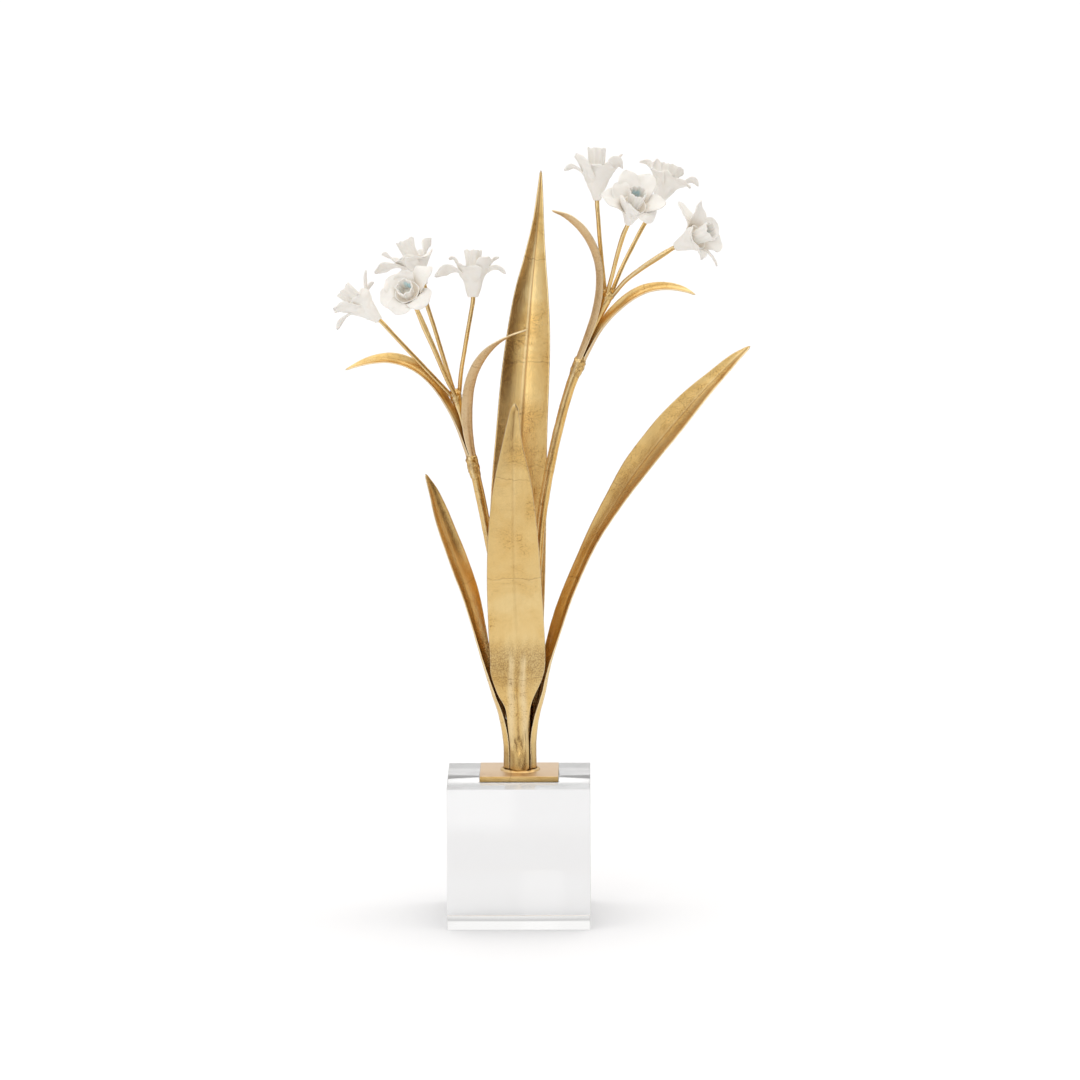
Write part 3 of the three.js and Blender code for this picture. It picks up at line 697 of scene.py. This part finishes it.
def math_node(tree, operation, first, second=0.0):
    return node(tree, "ShaderNodeMath", {0: first, 1: second}, operation=operation).outputs[0]


def times(tree, first, second):
    return math_node(tree, "MULTIPLY", first, second)


def bump(tree, height, distance, strength, normal=None):
    inputs = {"Strength": strength, "Distance": distance, "Height": height}
    if normal is not None:
        inputs["Normal"] = normal
    return node(tree, "ShaderNodeBump", inputs).outputs["Normal"]


def attribute(tree, name, output="Fac"):
    return node(tree, "ShaderNodeAttribute", attribute_name=name).outputs[output]


def scaled(tree, vector, scale):
    return node(tree, "ShaderNodeMapping", {"Vector": vector, "Scale": scale}).outputs["Vector"]


def object_place(tree):
    """Where a point lies in the part's own frame, in metres."""
    return node(tree, "ShaderNodeTexCoord").outputs["Object"]


GOLD = {
    "light": (0.86, 0.645, 0.31),
    "deep": (0.76, 0.50, 0.18),
    # The pale cream of painted highlights.
    "painted_highlight": (0.97, 0.84, 0.58),
    "brown": (0.20, 0.085, 0.014),
    "pink": (0.66, 0.50, 0.37),
}
LEAF_SQUARE = 74  # of the gold leaf that the metal is covered with, in millimetres


def gold_material(name, wear_and_shade, pink=0.0, roughness=(0.13, 0.27)):
    """Squares of gold leaf on brushed metal, with spots of wear, painted highlights on edges and ridges, and
    painted shade in hollows, creases and marked places.

    The wear figure sets how strongly the spots of wear show, pink how far the outer face turns to rose gold.
    """
    material, tree, shader = new_material(name)
    grain = attribute(tree, "grain", "Vector")
    place = object_place(tree)
    long_grain = scaled(tree, grain, (1.0, 1.0, 0.035))
    streaks = noise(tree, long_grain, 1.1, 5.0, 0.6)
    fine = noise(tree, long_grain, 9.0, 3.0, 0.6)
    patches = noise(tree, place, 38.0, 3.0, 0.6, 0.6)
    crinkle = noise(tree, place, 420.0, 5.0, 0.62, 0.3)
    specks = noise(tree, place, 900.0, 2.0, 0.7)

    # A square's edge shows as a fine dark line, and each square has a tone of its own.
    parts = node(tree, "ShaderNodeSeparateXYZ", {"Vector": grain}).outputs
    torn = times(tree, noise(tree, place, 60.0, 4.0, 0.7), 0.16)
    laid = math_node(tree, "ADD", math_node(tree, "DIVIDE", parts["Z"], LEAF_SQUARE), torn)
    into = math_node(tree, "FRACT", laid)
    seam = ramp(tree, into, 0.0, 0.012, 1.0, 0.0)
    number = math_node(tree, "FLOOR", laid)
    square = node(tree, "ShaderNodeTexWhiteNoise", noise_dimensions="1D")
    set_inputs(tree, square, {"W": number})

    tone = mix_colour(tree, ramp(tree, patches, 0.35, 0.66), GOLD["light"], GOLD["deep"])
    tone = mix_colour(tree, ramp(tree, square.outputs["Value"], 0.0, 1.0, 0.0, 0.45), tone, GOLD["deep"])
    tone = mix_colour(tree, ramp(tree, streaks, 0.42, 0.75, 0.0, 0.22), tone, GOLD["deep"])
    if pink:
        outer = times(tree, attribute(tree, "outer"), pink)
        tone = mix_colour(tree, outer, tone, GOLD["pink"])
    # Painted highlight: marked edges, ridges and lines turn pale cream.
    painted_highlight = times(tree, attribute(tree, "edge"), 0.7)
    tone = mix_colour(tree, painted_highlight, tone, GOLD["painted_highlight"])
    spots = times(tree, ramp(tree, specks, 0.56, 0.7), ramp(tree, patches, 0.46, 0.62))
    spots = times(tree, spots, wear_and_shade)
    # Painted shade, broken by specks, where a leaf is marked darker.
    painted_light = times(tree, attribute(tree, "wear_and_shade"), ramp(tree, specks, 0.4, 0.6, 0.35, 1.0))
    tone = mix_colour(tree, math_node(tree, "MAXIMUM", spots, painted_light), tone, GOLD["brown"])
    tone = mix_colour(tree, times(tree, seam, 0.4), tone, GOLD["brown"])
    # Fine cracks run where the leaf has creased in laying.
    cells = {"Vector": scaled(tree, place, (1.0, 1.0, 2.2)), "Scale": 120.0}
    cracks = node(tree, "ShaderNodeTexVoronoi", cells, feature="DISTANCE_TO_EDGE")
    cracked = ramp(tree, cracks.outputs["Distance"], 0.004, 0.02, 0.5, 0.0)
    cracked = times(tree, cracked, ramp(tree, patches, 0.52, 0.6))
    tone = mix_colour(tree, cracked, tone, GOLD["brown"])
    # Painted shade in hollows, creases, at the foot of things and down rods; on solder also a darker tone.
    tone = mix_colour(tree, attribute(tree, "hollow"), tone, GOLD["brown"])
    rough = ramp(tree, fine, 0.3, 0.7, *roughness)
    normal = bump(tree, crinkle, 0.0001, 0.5)
    normal = bump(tree, fine, 0.00008, 0.6, normal)
    normal = bump(tree, streaks, 0.00011, 0.5, normal)
    set_inputs(tree, shader, {"Base Color": tone, "Metallic": 1.0, "Roughness": rough, "Normal": normal})
    return material


def porcelain_material():
    """Unglazed white porcelain with painted shade, a warm tan, in its folds, and a pale blue glaze pooled in
    some throats.
    """
    material, tree, shader = new_material("porcelain")
    place = object_place(tree)
    cloud = noise(tree, place, 90.0, 3.0, 0.55)
    grain = noise(tree, place, 1500.0, 3.0, 0.6)
    tone = mix_colour(tree, cloud, (0.82, 0.79, 0.74), (0.86, 0.84, 0.80))
    # Painted shade, a warm tan, where folds and hollows are marked.
    tone = mix_colour(tree, attribute(tree, "fold_shade"), tone, (0.56, 0.46, 0.33))
    glazed = times(tree, attribute(tree, "glaze"), ramp(tree, cloud, 0.4, 0.6))
    tone = mix_colour(tree, glazed, tone, (0.56, 0.78, 0.84))
    looks = {
        "Base Color": tone,
        "Roughness": ramp(tree, glazed, 0.0, 0.6, 0.58, 0.12),
        "Subsurface Weight": 0.12,
        "Subsurface Radius": (0.0022, 0.0016, 0.0012),
        "Specular IOR Level": 0.35,
        "Normal": bump(tree, grain, 0.00004, 0.5),
    }
    set_inputs(tree, shader, looks)
    return material


def acrylic_material():
    """Clear cast acrylic with polished faces that carry the faintest haze."""
    material, tree, shader = new_material("clear_acrylic")
    place = object_place(tree)
    haze = ramp(tree, noise(tree, place, 30.0, 4.0, 0.6), 0.45, 0.8, 0.0, 0.03)
    colour = (0.85, 0.855, 0.86, 1.0)
    looks = {"Base Color": colour, "Roughness": haze, "Transmission Weight": 1.0, "IOR": 1.49}
    set_inputs(tree, shader, looks)
    return material


def glue_material():
    """Clear glue that has squeezed out in a thin uneven film."""
    material, tree, shader = new_material("clear_glue")
    place = object_place(tree)
    ripple = noise(tree, place, 300.0, 3.0, 0.6)
    looks = {
        "Base Color": (0.93, 0.92, 0.89, 1.0),
        "Roughness": ramp(tree, ripple, 0.3, 0.7, 0.05, 0.25),
        "Transmission Weight": 1.0,
        "IOR": 1.48,
        "Normal": bump(tree, ripple, 0.0002, 0.4),
    }
    set_inputs(tree, shader, looks)
    return material


leaf_gold = gold_material("leaf_gold", wear_and_shade=0.6)
bract_gold = gold_material("bract_gold", pink=0.5, wear_and_shade=0.3, roughness=(0.22, 0.38))
rod_gold = gold_material("rod_gold", wear_and_shade=0.4, roughness=(0.1, 0.2))
solder_gold = gold_material("solder_gold", wear_and_shade=0.9, roughness=(0.14, 0.34))
plate_gold = gold_material("plate_gold", pink=0.7, wear_and_shade=0.3, roughness=(0.3, 0.48))
porcelain = porcelain_material()
acrylic = acrylic_material()
glue = glue_material()


# Block, glue and plate


def rounded_box(size, middle, radius):
    """A box with rounded edges: size and middle in millimetres, middle[2] at its underside."""
    mesh = bpy.data.meshes.new("box")
    x, y, z = (s / 2 for s in size)
    corners = [(a * x, b * y, c * z) for a in (-1, 1) for b in (-1, 1) for c in (-1, 1)]
    faces = [(0, 1, 3, 2), (4, 6, 7, 5), (0, 4, 5, 1), (2, 3, 7, 6), (0, 2, 6, 4), (1, 5, 7, 3)]
    mesh.from_pydata(corners, [], faces)
    edit = bmesh.new()
    edit.from_mesh(mesh)
    bmesh.ops.bevel(edit, geom=edit.edges[:], offset=radius, segments=3, profile=0.5, affect="EDGES")
    points = np.array([v.co for v in edit.verts])
    index = {v: i for i, v in enumerate(edit.verts)}
    faces = [tuple(index[v] for v in f.verts) for f in edit.faces]
    edit.free()
    bpy.data.meshes.remove(mesh)
    return points + np.array([middle[0], middle[1], middle[2] + size[2] / 2]), faces


def flat_values(points, pinkness=1.0):
    """The plate is pinker on top; its upright sides are painted darker as shade."""
    level = points[:, 2] > PLATE_TOP - 0.1
    return {
        "grain": points[:, [1, 2, 0]],
        "outer": pinkness * level,
        "hollow": np.where(level, 0.0, 0.22),
    }


def make_block():
    points, faces = rounded_box((BLOCK, BLOCK, BLOCK), (0, 0, 0), 0.5)
    make_piece("block_clear", [(points, faces, {})], acrylic, "block", 20)


def make_glue():
    """The film stands unevenly proud of the plate's edge."""
    sides = 160
    x0, y0 = PLATE["middle"]
    angle = np.linspace(0, 2 * math.pi, sides, endpoint=False)
    across, deep = PLATE["width"] / 2, PLATE["depth"] / 2
    square = 1 / np.maximum(np.abs(np.cos(angle)) / across, np.abs(np.sin(angle)) / deep)
    edge = np.stack([np.cos(angle) * square, np.sin(angle) * square], -1)
    spread = 0.5 + 0.35 * wobble(edge, 9, 5) + 0.25 * wobble(edge, 3, 6)
    outline = edge * (1 + np.clip(spread, 0.05, None) / square)[:, None]
    low, high = BLOCK + 0.02, BLOCK + GAP - 0.02
    rings = []
    for z, share in ((low, 0.99), (low + 0.08, 1.0), (high - 0.08, 1.0), (high, 0.985)):
        rings.append(np.column_stack([outline * share + (x0, y0), np.full(sides, z)]))
    film = (np.vstack(rings), capped_faces(len(rings), sides), {})
    make_piece("glue_film", [film], glue, None, 60)


def make_plate():
    x0, y0 = PLATE["middle"]
    points, faces = rounded_box((PLATE["width"], PLATE["depth"], PLATE["thick"]), (x0, y0, BLOCK + GAP), 0.45)
    slab = (points, faces, flat_values(points))
    sides = 120
    angle = np.linspace(0, 2 * math.pi, sides, endpoint=False)
    across, deep = BUNDLE["across"] / 2 + GAP, BUNDLE["deep"] / 2 + GAP
    section = [(0, -0.4), (2.2, -0.4), (1.9, 0.25), (1.3, 0.75), (0.6, 1.1), (0.0, 1.3)]
    rings = []
    for out, up in section:
        ring = np.stack([np.cos(angle) * (across + out), np.sin(angle) * (deep + out)], -1)
        lumps = wobble(ring, 5, 11)
        scale = 1 + 0.018 * lumps * (out > 0)
        rings.append(
            np.column_stack([ring * scale[:, None] + BUNDLE["middle"], PLATE_TOP + up * (1 + 0.2 * lumps)])
        )
    bead_points = np.vstack([*rings, rings[0]])
    bead_faces = ring_faces(len(section) + 1, sides)
    values = flat_values(bead_points, 0.2)
    # Painted shade on the bead, strongest where it meets the bundle.
    depths = [0.5 if out == 0 else 0.15 for out, _ in [*section, section[0]]]
    values["hollow"] = np.repeat(depths, sides)
    make_piece("plate_gilt", [slab, (bead_points, bead_faces, values)], plate_gold, "plate", 35)


# Leaves and bracts


def leaf_shape(keel, flute, seed, length):
    """How far a blade stands out from its rolled arc: midrib, foot flutes and hand-worked waves."""

    def shape(u, v, width):
        across = u * width / 2
        rising = smooth(0.03, 0.1, v)
        fading = 1 - smooth(0.30, 0.35, v)
        ridge = keel * np.minimum(1, width / 12) * (1 - np.sqrt(u * u + 0.0012))
        depth = flute * rising * fading * np.exp(-((across / 8) ** 2))
        flutes = -depth * np.cos(math.pi * across / RIDGE["off"])
        place = np.stack([across, v * length + 0 * u], -1)
        waves = 0.24 * wobble(place, 38, seed) + 0.08 * wobble(place, 9, seed + 1)
        return ridge + flutes + waves * np.minimum(1, width / 12)

    return shape


def ridges(across, heights):
    """Where the two rounded ridges rise from the foot of the front leaf: they carry a painted highlight and
    are left out of the painted shade above the flutes.
    """
    away = np.abs(across) - RIDGE["off"]
    top = 198 - 3.2 * away**2
    rounded = np.exp(-((away / RIDGE["wide"]) ** 2))
    return rounded * smooth(112, 140, heights) * (1 - smooth(top - 12, top + 2, heights))


def painted_leaf_shade(name, across, heights):
    """Painted shade on the gold leaf: above the flutes in front, with a line down the groove between the
    ridges, and along one edge at the back.
    """
    if name == "leaf_front":
        over_flutes = smooth(156, 182, heights) * (1 - smooth(190, 207 + 2.5 * np.sin(across), heights))
        groove = np.exp(-((across / 0.9) ** 2)) * smooth(112, 130, heights) * (1 - smooth(190, 204, heights))
        return 0.55 * np.maximum(over_flutes * (1 - ridges(across, heights)), groove)
    if name == "leaf_back":
        strip = smooth(7.5, 11.5, across) * smooth(330, 400, heights) * (1 - smooth(470, 500, heights))
        return 0.6 * strip
    return np.zeros(len(heights))


def make_leaves():
    for seed, (name, leaf) in enumerate(LEAVES.items()):
        rows = leaf["rows"]
        length = travelled_along(np.array(rows)[:, :3])[-1]
        shape = leaf_shape(leaf["keel"], leaf["flute"], 20 + 3 * seed, length)
        points, faces, values = strip_shell(rows, LEAF_SHEET, 9 * (len(rows) - 1), 36, shape)
        heights = points[:, 2]
        # Painted shade: a little at the foot, much on the inner face low down, and in a line down the crease.
        foot = 1 - smooth(FOOT, FOOT + 16, heights)
        inside = 1 - values["outer"]
        across = values["grain"][:, 0]
        pocket = 0.8 * inside * (1 - smooth(140, 205, heights))
        midrib = np.exp(-((across / 0.55) ** 2)) * smooth(185, 230, heights)
        values["hollow"] = np.clip(0.2 * foot + pocket + leaf["midrib"] * midrib, 0, 1)
        # Painted shade over the front leaf's flutes and along one edge of the back leaf.
        values["wear_and_shade"] = painted_leaf_shade(name, across, heights)
        # Painted highlights: a line beside the crease, and the tops of the front leaf's ridges.
        beside = np.exp(-(((across - 1.1) / 0.45) ** 2)) * smooth(185, 230, heights)
        bright = leaf["midrib"] * beside
        if name == "leaf_front":
            bright = np.maximum(bright, 0.6 * ridges(across, heights))
        values["edge"] = np.maximum(values["edge"], bright)
        make_piece(f"{name}_sheet", [(points, faces, values)], leaf_gold, name)


def make_bracts():
    for seed, (name, rows) in enumerate(BRACTS.items()):
        length = travelled_along(np.array(rows)[:, :3])[-1]
        shape = leaf_shape(0.5, 0, 60 + 3 * seed, length)

        def quieter(u, v, width, shape=shape):
            return 0.8 * shape(u, v, width)

        points, faces, values = strip_shell(rows, BRACT_SHEET, 9 * (len(rows) - 1), 20, quieter)
        inside = 1 - values["outer"]
        share = values["grain"][:, 2] / length
        # Painted shade on the inner face near the foot.
        values["hollow"] = np.clip(inside * 0.85 * (1 - smooth(0.1, 0.34, share)), 0, 1)
        make_piece(f"{name}_sheet", [(points, faces, values)], bract_gold, name)


# Stems, wires and solder


def make_stems():
    for seed, (name, rows) in enumerate(STEMS.items()):
        points, faces, values = tube_shell(rows, 14 * (len(rows) - 1), 28, 0.09, 90 + seed, 14)
        # Painted shade: the rod's dark reflection line and its darker sides.
        values["hollow"] = np.clip(0.62 * values.pop("dark"), 0, 1)
        make_piece(f"{name}_rod", [(points, faces, values)], rod_gold, name)


# Lumps of solder where the pieces join, as rows of x, y, z and radius.
SOLDER = {
    "solder_left_joint": [
        (-29.6, -0.35, 318, 3.5),
        (-30.7, -0.6, 322.5, 4.1),
        (-31.6, -0.9, 327, 4.3),
        (-32.6, -1.1, 331.5, 4.2),
        (-33.4, -1.3, 335, 3.0),
    ],
    "solder_left_branch": [
        (-41.9, -3.4, 370.5, 3.0),
        (-43.2, -3.7, 375.5, 4.0),
        (-43.9, -3.7, 378.5, 3.9),
        (-44.5, -3.7, 381.5, 2.4),
    ],
    "solder_right_joint": [
        (40.4, 3.1, 389.5, 3.7),
        (42.0, 3.0, 393.5, 4.3),
        (43.6, 2.8, 397.6, 4.4),
        (45.2, 2.7, 401.6, 4.2),
        (46.4, 2.7, 404.6, 3.0),
    ],
    "solder_right_branch": [
        (62.6, 1.9, 442.6, 3.3),
        (64.6, 1.8, 447.4, 4.2),
        (65.6, 1.8, 450.4, 4.0),
        (66.4, 1.8, 453.2, 2.4),
    ],
}


def make_solder():
    for seed, (name, rows) in enumerate(SOLDER.items()):
        points, faces, values = tube_shell(rows, 9 * (len(rows) - 1), 40, 0.35, 130 + 2 * seed, 3.2)
        # The solder is darker throughout and patchily, and carries a rod's painted dark reflection line.
        values["hollow"] = 0.2 + 0.2 * wobble(points, 4, 150 + seed) + 0.2 * values.pop("dark")
        make_piece(name, [(points, faces, values)], solder_gold, None, 60)


# Blooms


def bloom_basis(axis):
    """A bloom's own x, y and z as columns in the part's frame."""
    up = unit(np.array(axis, float))
    right = unit(np.array([1.0, 0, 0]) - up * up[0])
    return np.stack([right, np.cross(up, right), up], 1)


def petal_shell(shape, seed):
    """One petal, from inside the cone's wall, out over its mouth, to the tip."""
    around, reach, rise, width, curl, tip, twist, arch = shape
    cos, sin = math.cos(math.radians(around)), math.sin(math.radians(around))
    radius, z = MOUTH["radius"], MOUTH["z"]
    out = reach - radius
    stations = [
        (4.9, 9, 5, 50, 0),
        (6.6, 14, 0.8 * width, 60, 0),
        (radius - 0.5 + 0.12 * out, z + 0.12 * rise, 0.95 * width, 0.7 * curl + 15, PETAL_LAP + 0.15 * twist),
        (radius + 0.55 * out, z + 0.62 * rise + arch, width, curl, 0.5 * PETAL_LAP + 0.75 * twist),
        (reach, z + rise, tip, curl, twist),
    ]
    rows = [(r * cos, r * sin, h, across, roll, around, turn) for r, h, across, roll, turn in stations]
    rng = np.random.default_rng(seed)
    phase, waves, lift = rng.uniform(0, 6.28), rng.uniform(1.4, 2.4), rng.uniform(0.7, 1.3)

    def ruffle(u, v, wide):
        free = smooth(0.42, 0.9, v)
        frill = lift * np.abs(u) ** 1.7 * np.sin(2 * math.pi * waves * v + phase + 1.3 * np.sign(u))
        place = np.stack([u * wide / 2, v * 30 + 0 * u], -1)
        veins = 0.08 * np.cos(7 * math.pi * u)
        crease = 0.6 * np.minimum(1, wide / 12) * (1 - np.sqrt(u * u + 0.01))
        return crease + free * (frill * np.minimum(1, wide / 10) + veins) + 0.22 * wobble(place, 8, seed)

    points, faces, values = strip_shell(rows, PETAL_THICK, 36, 20, ruffle)
    share = values["grain"][:, 2] / values["grain"][:, 2].max()
    inside = 1 - values["outer"]
    # Painted shade on the inner face near the root, and a little on both faces there.
    fold_shade = 0.5 * inside * (1 - smooth(0.34, 0.6, share)) + 0.08 * (1 - smooth(0.2, 0.5, share))
    return points, faces, {"fold_shade": fold_shade, "glaze": np.zeros(len(points))}


def cone_shell(neck, seed):
    """The bloom's cone, from the bottom of the wire's socket round its foot and mouth to its floor."""
    socket = WIRE_RADIUS + GAP
    profile = [
        (socket + 0.05, SOCKET_DEPTH - 0.6),
        (socket, 0.4),
        (neck - 0.7, 0),
        (neck, 0.5),
        (neck + 1.5, 5),
        (6.4, 10),
        (8.1, 15.5),
        (MOUTH["radius"], MOUTH["z"]),
        (8.4, 18.9),
        (7.7, 18.3),
        (5.4, 17),
    ]

    def bend(angle, radius, z, place):
        outside = place < 7.2
        seams = 0.035 * np.cos(6 * angle + 0.7 + 0.3 * seed) * smooth(1, 14, z)
        flat = np.stack([np.cos(angle) * 8, np.sin(angle) * 8, z], -1)
        return radius * (1 + seams * outside + 0.03 * wobble(flat, 8, seed)), z

    points, faces, place = turned_shell(profile, 6, 72, bend)
    # Painted shade inside the cone, past its mouth.
    return points, faces, {"fold_shade": 0.55 * smooth(8.0, 9.4, place), "glaze": np.zeros(len(points))}


def cup_shell(cup, seed, glaze):
    """The ribbed cup with a thin uneven rim."""
    rng = np.random.default_rng(seed)
    phase = rng.uniform(0, 6.28)
    tall, rim = cup["tall"], cup["rim"]
    top, half = MOUTH["z"] + tall, MOUTH["z"] + tall / 2
    waist = (CUP_FOOT["radius"] + rim) / 2
    profile = [
        (CUP_FOOT["radius"], CUP_FOOT["z"]),
        (waist, half),
        (rim, top),
        (rim - 0.35, top + 0.35),
        (rim - 0.9, top - 0.1),
        (waist - CUP_WALL, half),
        (CUP_FOOT["radius"] - CUP_WALL, MOUTH["z"] - 1),
    ]

    def bend(angle, radius, z, place):
        rise = smooth(15, top - 2, z)
        ribs = 0.42 * np.cos(CUP_RIBS * angle + phase) * (0.4 + 0.6 * rise)
        flat = np.stack([np.cos(angle) * 6, np.sin(angle) * 6, 0 * angle], -1)
        ragged = 0.8 * wobble(flat, 4.2, seed + 3) + 0.35 * wobble(flat, 1.6, seed + 4)
        flare = 0.6 * wobble(flat, 6, seed + 5)
        at_rim = smooth(top - 6, top, z) * rim / 6.2
        return radius + ribs + flare * at_rim, z + ragged * at_rim - 0.5 * at_rim

    points, faces, place = turned_shell(profile, 8, 96, bend)
    # Painted shade inside the cup, below its rim.
    deep = smooth(4.2, 5.6, place)
    around = np.arctan2(points[:, 1], points[:, 0])
    pool = smooth(0.1, 0.8, np.cos(around - phase)) * smooth(4.3, 4.9, place) * (1 - smooth(5.6, 6.0, place))
    return points, faces, {"fold_shade": 0.35 * deep, "glaze": glaze * pool}


GLAZED = ("bloom_left_3", "bloom_right_2", "bloom_right_4")


def make_blooms():
    for seed, (name, bloom) in enumerate(BLOOMS.items()):
        basis = bloom_basis(bloom["axis"])
        foot = np.array(bloom["foot"], float)
        size = bloom.get("size", 1)
        shells = [
            cone_shell(bloom["neck"], 200 + seed),
            cup_shell(bloom["cup"], 230 + 7 * seed, float(name in GLAZED)),
        ]
        for number, shape in enumerate(bloom["petals"]):
            shells.append(petal_shell(shape, 300 + 10 * seed + number))
        placed = [(foot + size * points @ basis.T, faces, values) for points, faces, values in shells]
        make_piece(f"{name}_porcelain", placed, porcelain, name, 50)

        on_axis = [tuple(foot + basis[:, 2] * depth) + (WIRE_RADIUS,) for depth in (-2.5, SOCKET_DEPTH - GAP)]
        route = [*bloom["wire"], *on_axis]
        points, faces, values = tube_shell(route, 60, 20, 0.05, 170 + seed, 9)
        # The wire is darker for its first 12 mm from the branch, and carries a rod's painted dark reflection
        # line.
        darker_by_branch = 0.3 * (1 - smooth(0, 12, values["grain"][:, 2]))
        values["hollow"] = np.clip(darker_by_branch + 0.6 * values.pop("dark"), 0, 1)
        wire = name.replace("bloom", "wire")
        make_piece(f"{wire}_rod", [(points, faces, values)], rod_gold, wire)


# Camera, light and floor


def make_camera():
    """The photograph's view: a long lens six metres in front, looking slightly down."""
    yaw, pitch, roll = math.radians(-0.5405), math.radians(9.3205), math.radians(-0.244)
    forward = Vector((math.sin(yaw) * math.cos(pitch), math.cos(yaw) * math.cos(pitch), -math.sin(pitch)))
    right = Vector((math.cos(yaw), -math.sin(yaw), 0))
    up = right.cross(forward)
    right, up = (
        math.cos(roll) * right + math.sin(roll) * up,
        -math.sin(roll) * right + math.cos(roll) * up,
    )
    data = bpy.data.cameras.new("camera")
    data.sensor_width = 36
    data.lens = 285.09
    camera = bpy.data.objects.new("camera", data)
    matrix = Matrix((right, up, -forward)).transposed().to_4x4()
    matrix.translation = (0.072362, -6.0, 1.25717)
    camera.matrix_world = matrix
    bpy.context.scene.collection.objects.link(camera)
    bpy.context.scene.camera = camera


# The studio round the object, by direction: azimuth in degrees from the front, towards +X, elevation,
# and how far back the direction points. A pair named x_to_y is where the light x fades into y.
STUDIO = {
    "front": 0.14,  # the dark room behind the camera
    "backdrop": 0.85,
    "front_to_backdrop": (0.5, 0.85),
    "zenith": 1.9,
    "level_to_zenith": (22, 60),
    "ground": 1.16,
    "ground_to_level": (-17, -12),
    "strip": {"back": (0.86, 0.96), "elevation": (3, 17), "edge": 3, "light": 0.45},
    "boxes": [
        {"azimuth": (-26, 26), "elevation": (-3, 34), "edge": 4, "light": 0.95},
        {"azimuth": (-15, -3), "elevation": (-3, 34), "edge": 3, "light": 1.1},
        {"azimuth": (-68, -30), "elevation": (-12, 38), "edge": 4, "light": 0.85},
        {"azimuth": (20, 52), "elevation": (-12, -8), "edge": 4, "light": 1.15},
        {"azimuth": (76, 122), "elevation": (-10, 50), "edge": 8, "light": 0.8},
        {"azimuth": (-120, -82), "elevation": (-10, 50), "edge": 8, "light": 0.6},
    ],
    "strength": 0.85,
    "dark": (1.0, 0.60, 0.30),
    "bright": (1.0, 0.99, 0.975),
    "dark_to_bright": (0.2, 0.8),
}


def within(tree, value, low, high, edge):
    """1 between low and high, falling to 0 over a soft edge."""
    up = ramp(tree, value, low - edge, low)
    down = ramp(tree, value, high, high + edge, 1.0, 0.0)
    return times(tree, up, down)


def studio_world():
    world = bpy.data.worlds.new("studio")
    world.use_nodes = True
    tree = world.node_tree
    way = node(tree, "ShaderNodeTexCoord").outputs["Generated"]
    parts = node(tree, "ShaderNodeSeparateXYZ", {"Vector": way}).outputs
    front = times(tree, parts["Y"], -1.0)
    azimuth = times(tree, math_node(tree, "ARCTAN2", parts["X"], front), 180 / math.pi)
    elevation = times(tree, math_node(tree, "ARCSINE", parts["Z"]), 180 / math.pi)
    fade = STUDIO["front_to_backdrop"]
    round_about = ramp(tree, parts["Y"], *fade, STUDIO["front"], STUDIO["backdrop"])
    above = ramp(tree, elevation, *STUDIO["level_to_zenith"])
    below = ramp(tree, elevation, *STUDIO["ground_to_level"], 1.0, 0.0)
    level = math_node(tree, "SUBTRACT", math_node(tree, "SUBTRACT", 1.0, above), below)
    light = times(tree, round_about, level)
    light = math_node(tree, "ADD", light, times(tree, above, STUDIO["zenith"]))
    light = math_node(tree, "ADD", light, times(tree, below, STUDIO["ground"]))
    for box in STUDIO["boxes"]:
        across = within(tree, azimuth, *box["azimuth"], box["edge"])
        upright = within(tree, elevation, *box["elevation"], box["edge"])
        shine = times(tree, times(tree, across, upright), box["light"])
        light = math_node(tree, "ADD", light, shine)
    # The top of the block mirrors the bright strip behind the object.
    strip = STUDIO["strip"]
    upright = within(tree, elevation, *strip["elevation"], strip["edge"])
    behind = times(tree, ramp(tree, parts["Y"], *strip["back"]), upright)
    light = math_node(tree, "ADD", light, times(tree, behind, strip["light"]))
    tint = mix_colour(tree, ramp(tree, light, *STUDIO["dark_to_bright"]), STUDIO["dark"], STUDIO["bright"])
    strength = times(tree, light, STUDIO["strength"])
    set_inputs(tree, tree.nodes["Background"], {"Color": tint, "Strength": strength})
    bpy.context.scene.world = world


def make_studio():
    half = FLOOR_HALF * METRE
    mesh = bpy.data.meshes.new("floor")
    corners = [(-half, -half, 0), (half, -half, 0), (half, half, 0), (-half, half, 0)]
    mesh.from_pydata(corners, [], [(0, 1, 2, 3)])
    floor = bpy.data.objects.new("floor", mesh)
    bpy.context.scene.collection.objects.link(floor)
    material, tree, shader = new_material("pale_floor")
    looks = {"Base Color": (0.885, 0.89, 0.905, 1.0), "Roughness": 0.9, "Specular IOR Level": 0.1}
    set_inputs(tree, shader, looks)
    mesh.materials.append(material)
    # The metal mirrors the studio below the horizon instead of the floor, so it keeps its dark lines.
    floor.visible_glossy = False
    studio_world()
    view = bpy.context.scene.view_settings
    view.view_transform = "Standard"
    view.look = "None"


make_camera()
make_studio()
make_block()
make_glue()
make_plate()
make_leaves()
make_bracts()
make_stems()
make_solder()
make_blooms()
